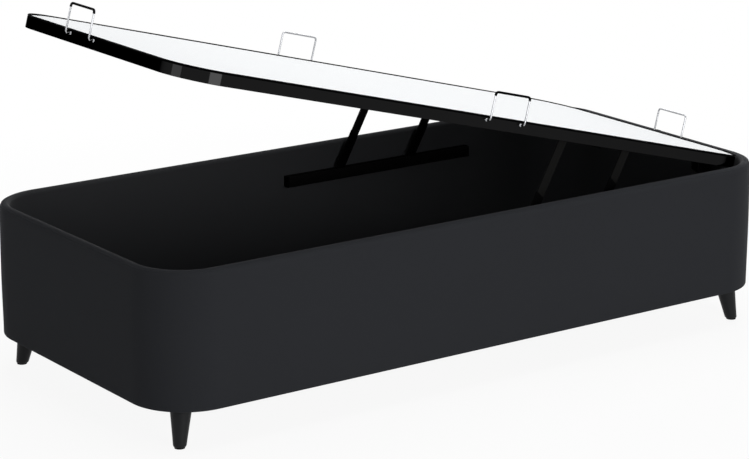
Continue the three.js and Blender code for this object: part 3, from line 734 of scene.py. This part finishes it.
def pad_mesh():
    """The top pad: its flat back from the middle line out, then its top from the piping in."""
    half_x, half_y = LID_WIDTH / 2 - PAD_INSET, LID_LENGTH / 2 - PAD_INSET
    edge = outline(half_x, half_y, LID_CORNER - PAD_INSET, steps=16, spacing=0.06)
    reach = LID_LENGTH / 2 - LID_WIDTH / 2
    spine = [Vector((0, max(-reach, min(reach, point.y)), 0)) for point, _ in edge]
    levels = [(share, PAD_BOTTOM) for share in BACK_SHARES]
    for share in TOP_SHARES:
        fall = max(0.0, (share - PAD_CURVE_BEGINS) / (1 - PAD_CURVE_BEGINS)) ** 2
        rise = (1 - fall) * (PAD_TOP - PAD_BOTTOM - SWELL_ROOM)
        levels.append((share, PAD_BOTTOM + PAD_EDGE + rise))
    rows = []
    for share, height in levels:
        lift = Vector((0, 0, height))
        rows.append([start.lerp(end, share) + lift for start, (end, _) in zip(spine, edge)])
    return grid("top_pad", rows, white_cloth, 50, close_rows=False)


def swell(piece):
    """Cloth with pressure inside puffs the pad up, and no point moves further than the cap."""
    mesh = piece.data
    rest = [vertex.co.copy() for vertex in mesh.vertices]
    pinned = piece.vertex_groups.new(name="pinned")
    edge = [vertex.index for vertex in mesh.vertices if vertex.co.z < PINNED_BELOW]
    pinned.add(edge, 1.0, "REPLACE")
    modifier = piece.modifiers.new("cloth", "CLOTH")
    settings = modifier.settings
    settings.quality = 6
    settings.mass = 0.4
    settings.tension_stiffness = 30
    settings.bending_stiffness = 4
    settings.vertex_group_mass = "pinned"
    settings.use_pressure = True
    settings.uniform_pressure_force = 2.5
    settings.effector_weights.gravity = 0
    modifier.point_cache.frame_end = SWELL_FRAMES
    for step in range(1, SWELL_FRAMES + 1):
        bpy.context.scene.frame_set(step)
    shaped = piece.evaluated_get(bpy.context.evaluated_depsgraph_get())
    moved = [vertex.co.copy() for vertex in shaped.data.vertices]
    piece.modifiers.clear()
    bpy.context.scene.frame_set(1)
    for vertex, start, end in zip(mesh.vertices, rest, moved):
        step = end - start
        vertex.co = start + step * min(1.0, SWELL_CAP / max(step.length, 1e-9))
    piece.vertex_groups.clear()


pad = pad_mesh()
clean(pad.data)
swell(pad)
place(pad, lid_middle)
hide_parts("lid_top_pad")
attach(pad, "lid")


# Wire retainers, each drawn across x with the lid behind it, then turned to its side of the lid

LOOP_BEND = 0.0085
WIRE_START = 0.0013
# A black plastic sleeve over the top of two of the loops paints the dark reflection that their
# chrome would show
REFLECTION_SLEEVE, REFLECTION_SLEEVE_DROP = 0.0006, 0.0095
COLLAR = [(0, 0.0002), (0.0035, 0.0002), (0.0038, 0.0005), (0.0036, 0.001), (0.003, 0.0014)]
COLLAR += [(0, 0.0014)]


def retainer(name, x, u, turn, shows_dark_reflection):
    half = LOOP_WIDTH / 2
    right = [(half, -LOOP_STAND_OFF, LOOP_TOP), (half, -LOOP_STAND_OFF, LOOP_FOOT)]
    right.append((half, -WIRE_START, LOOP_FOOT))
    left = [(-across, out, up) for across, out, up in reversed(right)]
    pieces = [sweep(name, rounded_path(left + right, LOOP_BEND), WIRE, chrome)]
    for end in (-half, half):
        collar = turned(f"{name}_collar", COLLAR, zinc, 32, 50)
        pieces.append(place(collar, Matrix.Translation((end, 0, LOOP_FOOT)) @ ALONG_Y))
    # The sleeve stands in for a dark reflection on the chrome top
    if shows_dark_reflection:
        ends = [(end, -LOOP_STAND_OFF, LOOP_TOP - REFLECTION_SLEEVE_DROP) for end in (-half, half)]
        path = rounded_path([ends[0], left[-1], right[0], ends[1]], LOOP_BEND)
        pieces.append(sweep(f"{name}_sleeve", path, WIRE + REFLECTION_SLEEVE, plastic))
    whole = join(name, pieces)
    spot = Matrix.Translation((x, u, 0)) @ Matrix.Rotation(turn, 4, "Z")
    return place(whole, to_lid @ spot)


# Each has its side, the x and u of its middle, its turn, and whether its top is sleeved in black, a
# painted dark reflection
for side, x, u, turn, shows_dark_reflection in (
    ("foot", -0.055, -LID_LENGTH, 0, True),
    ("head", 0.055, 0, 2 * QUARTER, False),
    ("right", LID_WIDTH / 2, -0.877, QUARTER, True),
    ("left", -LID_WIDTH / 2, -0.935, -QUARTER, False),
):
    wire = retainer(f"wire_{side}", x, u, turn, shows_dark_reflection)
    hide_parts(f"retainer_{side}")
    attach(wire, "lid")


# Legs: turned, tapered and splayed, with a rounded foot

LEG_ROUND_TOP, LEG_EDGE = 0.0085, 0.001


def leg(name, side_x, side_y):
    profile = [(0, LEG_LOW), (0.0128, LEG_LOW), (0.0148, 0.004), (0.0159, 0.0058)]
    run = LEG_HIGH - LEG_EDGE - LEG_ROUND_TOP
    for step in range(12):
        share = step / 12
        radius = LEG_FOOT_RADIUS + (LEG_TOP_RADIUS - LEG_FOOT_RADIUS) * share ** 1.04
        profile.append((radius, LEG_ROUND_TOP + run * share))
    profile += [(0.0278, LEG_HIGH - LEG_EDGE), (0.0272, LEG_HIGH), (PIN, LEG_HIGH)]
    profile += [(PIN, LEG_STUD_HIGH), (0, LEG_STUD_HIGH)]
    made = turned(name, profile, leg_finish, 56, 40)
    slope = -LEG_SPLAY / LEG_HEIGHT
    lean = Matrix(((1, 0, side_x * slope, 0), (0, 1, side_y * slope, 0), (0, 0, 1, 0), (0, 0, 0, 1)))
    return place(made, Matrix.Translation((side_x * LEG_X, side_y * LEG_Y, 0)) @ lean)


for corner, side_x, side_y in CORNERS:
    made = leg(f"turned_leg_{corner}", side_x, side_y)
    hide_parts(f"leg_{corner}")
    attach(made, "base")


# Lid frame: square tubes with welded joints, the arms' studs and the hinge lugs

WELD, WELD_LUMPS, WELD_INSET, WELD_SQUASH = 0.0011, 0.0004, 0.0014, 0.8
LUG_IN_TUBE, LUG_EDGE = 0.0008, 0.0006
PLUG_INSET, PLUG_HALF, PLUG_THICKNESS = 0.0006, 0.0094, 0.0009
PLUG_ROUND, PLUG_EDGE = 0.0024, 0.0003
STUD_START, STUD_LENGTH = 0.4, 0.0094


def weld(name, x, y):
    """A lumpy bead round the end of a cross tube."""
    half = TUBE / 2
    centre = x - math.copysign(WELD_INSET, x)
    edge = outline(half, half, TUBE_ROUND, steps=5, spacing=0.0035)
    rows = []
    for step in range(9):
        angle = 2 * math.pi * step / 9
        row = []
        for index, (point, out) in enumerate(edge):
            lump = WELD + WELD_LUMPS * math.sin(index * 1.9 + x * 40)
            spot = point + out * lump * math.cos(angle) * WELD_SQUASH
            row.append(Vector((centre + lump * math.sin(angle), spot.x + y, spot.y + half)))
        rows.append(row)
    return grid(name, rows, black_steel, 60)


def cross_tube(name, u):
    half = TUBE_X - TUBE / 2 - FIT
    tube = square_tube(name, -half, half, black_steel)
    place(tube, Matrix.Translation((0, u, 0)) @ Matrix.Rotation(QUARTER, 4, "Z"))
    return [tube, weld(f"{name}_weld_a", half, u), weld(f"{name}_weld_b", -half, u)]


def hinge_lug(name, side):
    end = -TUBE_INSET - LUG_IN_TUBE
    points = arc((-HINGE_INSET, HINGE_HEIGHT), LUG_RADIUS, -90, 90, 16)
    points = [(end, HINGE_HEIGHT - LUG_RADIUS), *points, (end, HINGE_HEIGHT + LUG_RADIUS)]
    hole = circle((-HINGE_INSET, HINGE_HEIGHT), PIN_HOLE)
    low, high = side * HINGE_X - LUG_WIDTH / 2, side * HINGE_X + LUG_WIDTH / 2
    return plate(name, [points, hole], low, high, LUG_EDGE, black_steel)


def on_lid(name, pieces, node):
    whole = join(name, pieces)
    place(whole, to_lid)
    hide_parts(node)
    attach(whole, "lid")


for side, word in SIDES:
    ends = (-LID_LENGTH + TUBE_INSET, -TUBE_INSET)
    beside = Matrix.Translation((side * TUBE_X, 0, 0))
    pieces = [place(square_tube(f"side_tube_{word}", *ends, black_steel), beside)]
    face = box_outline(-PLUG_HALF, PLUG_INSET, PLUG_HALF, TUBE - PLUG_INSET, PLUG_ROUND)
    for end, toward in zip(ends, (-1, 1)):
        out = end + toward * PLUG_THICKNESS
        plug = plate(f"tube_plug_{word}", [face], end, out, PLUG_EDGE, plastic, "Y")
        pieces.append(place(plug, beside))
    for u in STUDS:
        shank = plain_pin("stud", STUD_LENGTH)
        pieces.append(place(shank, along_x(side, STUD_START, u, STUD_V)))
        pieces.append(place(rivet("stud_head"), along_x(side, ARM_OUTER + FIT, u, STUD_V)))
    on_lid(f"side_tube_{word}", pieces, f"lid_side_tube_{word}")

head_u = -TUBE_INSET - TUBE / 2
foot_u = -LID_LENGTH + TUBE_INSET + TUBE / 2
lugs = [hinge_lug(f"hinge_lug_{side}", side) for side, _ in SIDES]
on_lid("head_tube", cross_tube("head_tube", head_u) + lugs, "lid_head_tube")
on_lid("foot_tube", cross_tube("foot_tube", foot_u), "lid_foot_tube")
for number, u in enumerate(CROSSBARS, 1):
    on_lid(f"crossbar_{number}", cross_tube(f"crossbar_{number}", u), f"lid_crossbar_{number}")


# Lifting arms: flat bars with a black shoe over the lower end that paints the walls' shadow, a
# roller and its pin

# The shoe holds the roller. Its length and slanted end follow the shadow that the walls cast on the
# arm's lower part, so it paints that shade in black
SHADOW_SHOE_LENGTH, SHADOW_SHOE_SLANT = 0.118, 0.009
SHADOW_SHOE_OVER_EDGE, SHADOW_SHOE_OVER_FACE = 0.0009, 0.0003
SHADOW_SHOE_TONGUE = TONGUE_LENGTH + 0.0005
ARM_EDGE, SHADOW_SHOE_EDGE = 0.0009, 0.0008
ROLLER = [(0, 0), (0.0052, 0), (0.006, 0.0007), (0.006, 0.0033), (0.0052, 0.004), (0, 0.004)]


def arm(which, side, word):
    length, angle = ARMS[which]
    half = ARM_WIDTH / 2
    name, body = f"{which}_arm_{word}", f"arm_{which}_{word}"
    points = arc((0, 0), half, -90, 90, 18) + [(-length + TONGUE_LENGTH, half)]
    points += arc((-length, 0), TONGUE_RADIUS, 90, 270, 14) + [(-length + TONGUE_LENGTH, -half)]
    inner, outer = side * ARM_INNER, side * ARM_OUTER
    bar = plate(name, [points, circle((0, 0), PIN_HOLE)], inner, outer, ARM_EDGE, arm_steel)
    # The black shoe: painted shade over the arm's lower end, where the walls' shadow falls
    wide = half + SHADOW_SHOE_OVER_EDGE
    shadow_shoe = [(-length + SHADOW_SHOE_LENGTH, wide), (-length + SHADOW_SHOE_TONGUE, wide)]
    shadow_shoe += arc((-length, 0), TONGUE_RADIUS + SHADOW_SHOE_OVER_EDGE / 2, 90, 270, 14)
    shadow_shoe += [(-length + SHADOW_SHOE_TONGUE, -wide), (-length + SHADOW_SHOE_LENGTH - SHADOW_SHOE_SLANT, -wide)]
    over = side * SHADOW_SHOE_OVER_FACE
    cap = plate(f"{name}_shoe", [shadow_shoe], inner - over, outer + over, SHADOW_SHOE_EDGE, plastic)
    roller = turned(f"{name}_roller", ROLLER, plastic, 32)
    reach = ROLLER_PIN_END - ARM_OUTER
    profile = [(0, 0), (PIN, 0), (PIN, reach - 0.0008), (0.0032, reach), (0, reach)]
    pin = turned(f"{name}_pin", profile, zinc, 28)
    lower = along_x(side, ARM_OUTER, -length, 0)
    whole = join(name, [bar, cap, place(roller, lower), place(pin, lower)])
    _, y, z = place_of(f"{body}_pivot")
    turn = Matrix.Rotation(math.radians(angle), 4, "X")
    place(whole, Matrix.Translation((0, y, z)) @ turn)
    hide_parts(body)
    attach(whole, body)


for which in ARMS:
    for side, word in SIDES:
        arm(which, side, word)


# Rails: folded channels with end caps and screws, and the gas springs in them

RAIL_BEND = 0.0032
CHANNEL_INSET, CHANNEL_EDGE = 0.0032, 0.0004
CAP_OVER, CAP_ROUND, CAP_EDGE = 0.0004, 0.003, 0.0011
YOKE_EDGE = 0.0004
YOKE_ROUND, WINDOW_ROUND, WINDOW_INSET = 0.0022, 0.0016, 0.004
YOKE = box_outline(YOKE_FOOT, YOKE_BOTTOM, YOKE_HEAD, YOKE_TOP, YOKE_ROUND)
YOKE_WINDOW = box_outline(
    YOKE_FOOT + YOKE_RIM, YOKE_BOTTOM + WINDOW_INSET,
    YOKE_HEAD - YOKE_BOSS, YOKE_TOP - WINDOW_INSET, WINDOW_ROUND,
)


def rail(side, word):
    name, bend, fold = f"rail_{word}", RAIL_BEND, RAIL_SHEET
    front_bend = (RAIL_FRONT + bend, RAIL_BOTTOM + bend)
    back_bend = (RAIL_BACK - bend, RAIL_BOTTOM + bend)
    points = [(RAIL_FRONT, RAIL_TOP)] + arc(front_bend, bend, 180, 270, 6)
    points += arc(back_bend, bend, 270, 360, 6)
    points += [(RAIL_BACK, RAIL_TOP), (RAIL_BACK - fold, RAIL_TOP)]
    points += arc(back_bend, bend - fold, 360, 270, 4)
    points += arc(front_bend, bend - fold, 270, 180, 4) + [(RAIL_FRONT + fold, RAIL_TOP)]
    points = [(side * x, z) for x, z in points]
    ends = (RAIL_FOOT + CHANNEL_INSET, RAIL_HEAD - CHANNEL_INSET)
    pieces = [plate(name, [points], *ends, CHANNEL_EDGE, black_steel, "Y")]
    low, high = sorted((side * RAIL_FRONT, side * RAIL_BACK))
    bottom, top = RAIL_BOTTOM - CAP_OVER, RAIL_TOP + CAP_OVER
    face = box_outline(low - CAP_OVER, bottom, high, top, CAP_ROUND)
    for end, start in (("foot", RAIL_FOOT), ("head", RAIL_HEAD - RAIL_END)):
        stop = start + RAIL_END
        pieces.append(plate(f"{name}_cap_{end}", [face], start, stop, CAP_EDGE, plastic, "Y"))
    first, last = RAIL_FOOT + RAIL_SCREW_INSET, CYLINDER_MOUTH - RAIL_SCREW_INSET
    for index in range(RAIL_SCREWS):
        y = first + (last - first) * index / (RAIL_SCREWS - 1)
        spot = along_x(-side, -(RAIL_BACK - fold), y, ROD_Z)
        pieces.append(place(screw(f"{name}_screw"), spot))
    whole = join(name, pieces)
    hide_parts(f"wall_rail_{word}")
    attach(whole, "base")


def spring(side, word):
    wide, length = CYLINDER, CYLINDER_HEAD - CYLINDER_MOUTH
    profile = [(0, 0), (0.0058, 0), (0.0066, 0.0006), (wide, 0.0018), (wide, length - 0.012)]
    profile += [(0.0064, length - 0.0105), (0.0064, length - 0.0085), (wide, length - 0.007)]
    profile += [(wide, length - 0.0022), (0.0062, length - 0.0006), (0.0052, length)]
    profile += [(0.0042, length), (0.0038, length - 0.001), (0.0038, 0.004), (0, 0.004)]
    cylinder = turned(f"spring_tube_{word}", profile, black_steel, 40, 40)
    place(cylinder, Matrix.Translation((side * ROD_X, CYLINDER_HEAD, ROD_Z)) @ ALONG_Y)
    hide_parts(f"gas_cylinder_{word}")
    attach(cylinder, "base")

    near, far = side * (YOKE_OUTER - YOKE_THICKNESS), side * YOKE_OUTER
    shapes = [YOKE, YOKE_WINDOW]
    yoke = plate(f"spring_yoke_{word}", shapes, near, far, YOKE_EDGE, black_steel)
    run = ROD_TIP - YOKE_HEAD + YOKE_BOSS / 2
    shaft = [(0, 0), (0.0026, 0), (ROD, 0.0005), (ROD, run - 0.0008), (0.0022, run), (0, run)]
    rod = turned(f"spring_rod_{word}", shaft, polished, 32)
    place(rod, Matrix.Translation((side * ROD_X, ROD_TIP, ROD_Z)) @ ALONG_Y)
    whole = join(f"spring_rod_{word}", [rod, yoke])
    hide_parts(f"gas_rod_{word}")
    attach(whole, f"gas_rod_{word}")


# Hinge brackets on the head panel, with their pins

BRACKET_ROUND, BRACKET_EDGE = 0.005, 0.0007


def bracket(side, word):
    _, pin_y, pin_z = hinge
    wall, radius = BRACKET_BACK, LUG_RADIUS
    top = pin_z - BRACKET_DROP
    bottom = top - BRACKET_HEIGHT
    middle = wall - CHEEK / 2
    points = [(middle, bottom), (middle, top), (pin_y + radius, top)]
    points += arc((pin_y, pin_z), radius, 0, 180, 18) + [(pin_y - radius, top - BRACKET_RUN)]
    hole = circle((pin_y, pin_z), PIN_HOLE)
    centre = side * HINGE_X
    pieces = []
    for toward in (-1, 1):
        near = centre + toward * (LUG_WIDTH / 2 + CHEEK_GAP)
        far = near + toward * CHEEK
        shapes = [points, hole]
        pieces.append(plate(f"cheek_{word}", shapes, near, far, BRACKET_EDGE, bracket_steel))
    half, front = BRACKET_WIDTH / 2, wall - CHEEK
    face = box_outline(centre - half, bottom, centre + half, top, BRACKET_ROUND)
    back = plate(f"bracket_{word}", [face], front, wall, BRACKET_EDGE, bracket_steel, "Y")
    pieces.append(back)
    for shift in (-BRACKET_SCREW_X, BRACKET_SCREW_X):
        spot = Matrix.Translation((centre + shift, front, (top + bottom) / 2))
        pieces.append(place(screw(f"bracket_screw_{word}"), spot @ ALONG_Y))
    whole = join(f"bracket_{word}", pieces)
    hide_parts(f"hinge_bracket_{word}")
    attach(whole, "base")

    half = LUG_WIDTH / 2 + CHEEK_GAP + CHEEK + FIT
    pin = plain_pin(f"pin_{word}", 2 * half)
    parts = [place(pin, along_x(1, centre - half, pin_y, pin_z))]
    for toward in (-1, 1):
        spot = Matrix.Translation((centre + toward * half, pin_y, pin_z))
        turn = Matrix.Rotation(toward * QUARTER, 4, "Y")
        parts.append(place(rivet(f"pin_head_{word}"), spot @ turn))
    whole = join(f"pin_{word}", parts)
    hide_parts(f"hinge_pin_{word}")
    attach(whole, "base")


for side, word in SIDES:
    rail(side, word)
    spring(side, word)
    bracket(side, word)


# Closing seam of the cover, up the middle of the head side to the crest of the rim

SEAM_HALF = [(-0.0075, -0.0004), (-0.0071, 0.0004), (-0.006, 0.0006), (-0.001, 0.0005)]
SEAM_MIDDLE = (0, -0.0002)
SEAM_PAST_CREST, SEAM_END = 0.001, 0.004
STITCH_PITCH, STITCH_X, STITCH_LIFT = 0.005, 0.0035, 0.0006
STITCH = Matrix.Diagonal((0.00035, 0.0017, 0.00035, 1))


def seam():
    # The first three points lie under the box, and the seam ends just past the crest.
    section = cover_section()[3:]
    end = next(i for i, (inset, _) in enumerate(section) if inset > CREST + SEAM_PAST_CREST)
    section = section[:end]
    path = [Vector((0, HALF_Y - inset, z)) for inset, z in section]
    outs = []
    for before, after in zip(section[:1] + section, section[1:] + section[-1:]):
        outs.append(Vector((0, after[1] - before[1], after[0] - before[0])).normalized())
    across = Vector((1, 0, 0))
    shape = [*SEAM_HALF, SEAM_MIDDLE, *((-x, height) for x, height in reversed(SEAM_HALF))]
    rows = []
    for point, out in zip(path, outs):
        rows.append([point + across * x + out * height for x, height in shape])
    strip = grid("closing_seam", rows, charcoal, 60, False, False)
    steps = distances(path)
    stitches = bmesh.new()
    at = SEAM_END
    index = 0
    while at < steps[-1] - SEAM_END:
        while steps[index + 1] < at:
            index += 1
        share = (at - steps[index]) / (steps[index + 1] - steps[index])
        point = path[index].lerp(path[index + 1], share)
        out = outs[index].lerp(outs[index + 1], share).normalized()
        along = across.cross(out).normalized()
        turn = Matrix((across, along, out)).transposed().to_4x4()
        for x in (-STITCH_X, STITCH_X):
            spot = Matrix.Translation(point + across * x + out * STITCH_LIFT) @ turn
            bmesh.ops.create_icosphere(stitches, subdivisions=1, radius=1, matrix=spot @ STITCH)
        at += STITCH_PITCH
    mesh = bpy.data.meshes.new("stitches")
    stitches.to_mesh(mesh)
    stitches.free()
    clean(mesh, merge=False)
    whole = join("closing_seam", [strip, finish_mesh("stitches", mesh, thread, 80)])
    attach(whole, "base")


seam()


# Finishes on the nodes that stay

WOOD_EDGE, PLATE_EDGE, GLIDE_EDGE = 0.0015, 0.0005, 0.0006

stays = {
    board: ["side_panel_right", "side_panel_left", "foot_panel", "head_panel"],
    softwood: ["floor_batten_1", "floor_batten_2", "floor_batten_3"],
    lining: ["floor_board", "lid_board"],
    zinc: [],
    rubber: [],
}
for batten in stays[softwood]:
    bevelled(batten, WOOD_EDGE)
for corner, _, _ in CORNERS:
    stays[board].append(f"corner_shell_{corner}")
    stays[softwood].append(f"corner_block_{corner}")
    stays[zinc].append(f"leg_plate_{corner}")
    stays[rubber].append(f"leg_glide_{corner}")
    bevelled(f"corner_block_{corner}", WOOD_EDGE)
    bevelled(f"leg_plate_{corner}", PLATE_EDGE)
    bevelled(f"leg_glide_{corner}", GLIDE_EDGE)
for material, names in stays.items():
    for name in names:
        data = frame["nodes"][name].data
        data.materials.clear()
        data.materials.append(material)


# Stage, light and camera

FLOOR_HALF = 20
FLOOR_GREY = 0.82
# The camera sees a floor that glows white. A small share near the object is matte instead,
# and takes its shadow.
SHADOW_NEAR, SHADOW_FAR = 1.0, 2.6
GLOW_NEAR, GLOW_FAR = 0.92, 1.0
# How strongly the white surrounding lights the object
SURROUNDING = 0.16
# Each lamp's name, place, the point it faces, its size and its power in watts
LAMPS = (
    ("key", (4.95, -0.4, 1.27), (0, 0, 0.4), (2.4, 2.5), 112),
    ("strip", (0.45, -4.9, 1.8), (0.3, -0.8, 0.9), (1.8, 0.5), 8),
    ("back", (-4.2, 3.8, 2.2), (0, 0, 0.3), (2.4, 2.0), 90),
    ("top", (0.0, 0.7, 4.6), (0, 0.1, 0.4), (4.0, 4.0), 140),
)
CAMERA_PLACE = (5.5705, -4.0081, 2.2145)
CAMERA_TILT, CAMERA_TURN = math.radians(74.443), math.radians(54.511)
CAMERA_LENS = 131.0


def background_rays(tree):
    """1 for a ray from the camera, direct, reflected or through glass, and 0 for the rest."""
    light_path = tree.nodes.new("ShaderNodeLightPath")
    found = light_path.outputs["Is Camera Ray"]
    for kind in ("Is Glossy Ray", "Is Transmission Ray"):
        larger = tree.nodes.new("ShaderNodeMath")
        larger.operation = "MAXIMUM"
        tree.links.new(found, larger.inputs[0])
        tree.links.new(light_path.outputs[kind], larger.inputs[1])
        found = larger.outputs[0]
    return found


def stage():
    mesh = bpy.data.meshes.new("floor")
    half = FLOOR_HALF
    corners = [(-half, -half, 0), (half, -half, 0), (half, half, 0), (-half, half, 0)]
    mesh.from_pydata(corners, [], [(0, 1, 2, 3)])
    floor = new_object("floor", mesh)
    material = bpy.data.materials.new("pale_floor")
    material.use_nodes = True
    tree = material.node_tree
    nodes, links = tree.nodes, tree.links
    nodes.clear()
    far = nodes.new("ShaderNodeVectorMath")
    far.operation = "LENGTH"
    links.new(nodes.new("ShaderNodeTexCoord").outputs["Object"], far.inputs[0])
    plain = map_range(tree, far.outputs["Value"], GLOW_NEAR, GLOW_FAR)
    plain.inputs["From Min"].default_value = SHADOW_NEAR
    plain.inputs["From Max"].default_value = SHADOW_FAR
    share = nodes.new("ShaderNodeMath")
    share.operation = "MULTIPLY"
    links.new(background_rays(tree), share.inputs[0])
    links.new(plain.outputs["Result"], share.inputs[1])
    matte = nodes.new("ShaderNodeBsdfDiffuse")
    matte.inputs["Color"].default_value = (FLOOR_GREY, FLOOR_GREY, FLOOR_GREY, 1)
    glow = nodes.new("ShaderNodeEmission")
    glow.inputs["Strength"].default_value = 1.0
    mix = nodes.new("ShaderNodeMixShader")
    out = nodes.new("ShaderNodeOutputMaterial")
    links.new(share.outputs[0], mix.inputs[0])
    links.new(matte.outputs[0], mix.inputs[1])
    links.new(glow.outputs[0], mix.inputs[2])
    links.new(mix.outputs[0], out.inputs["Surface"])
    mesh.materials.append(material)


def lamp(name, spot, target, size, power):
    data = bpy.data.lights.new(name, "AREA")
    data.shape = "RECTANGLE"
    data.size, data.size_y = size
    data.energy = power
    made = new_object(name, data)
    made.location = spot
    made.rotation_euler = (Vector(target) - Vector(spot)).to_track_quat("-Z", "Y").to_euler()


def world():
    made = bpy.data.worlds.new("studio")
    bpy.context.scene.world = made
    made.use_nodes = True
    tree = made.node_tree
    strength = map_range(tree, background_rays(tree), SURROUNDING, 1.0)
    background = tree.nodes["Background"]
    background.inputs["Color"].default_value = (1, 1, 1, 1)
    tree.links.new(strength.outputs["Result"], background.inputs["Strength"])


def camera():
    data = bpy.data.cameras.new("camera")
    data.sensor_width = 36
    data.lens = CAMERA_LENS
    data.clip_end = 100
    made = new_object("camera", data)
    made.location = CAMERA_PLACE
    made.rotation_euler = (CAMERA_TILT, 0, CAMERA_TURN)
    bpy.context.scene.camera = made


stage()
world()
for lamp_row in LAMPS:
    lamp(*lamp_row)
camera()
bpy.context.scene.view_settings.view_transform = "Standard"

bpy.context.view_layer.update()
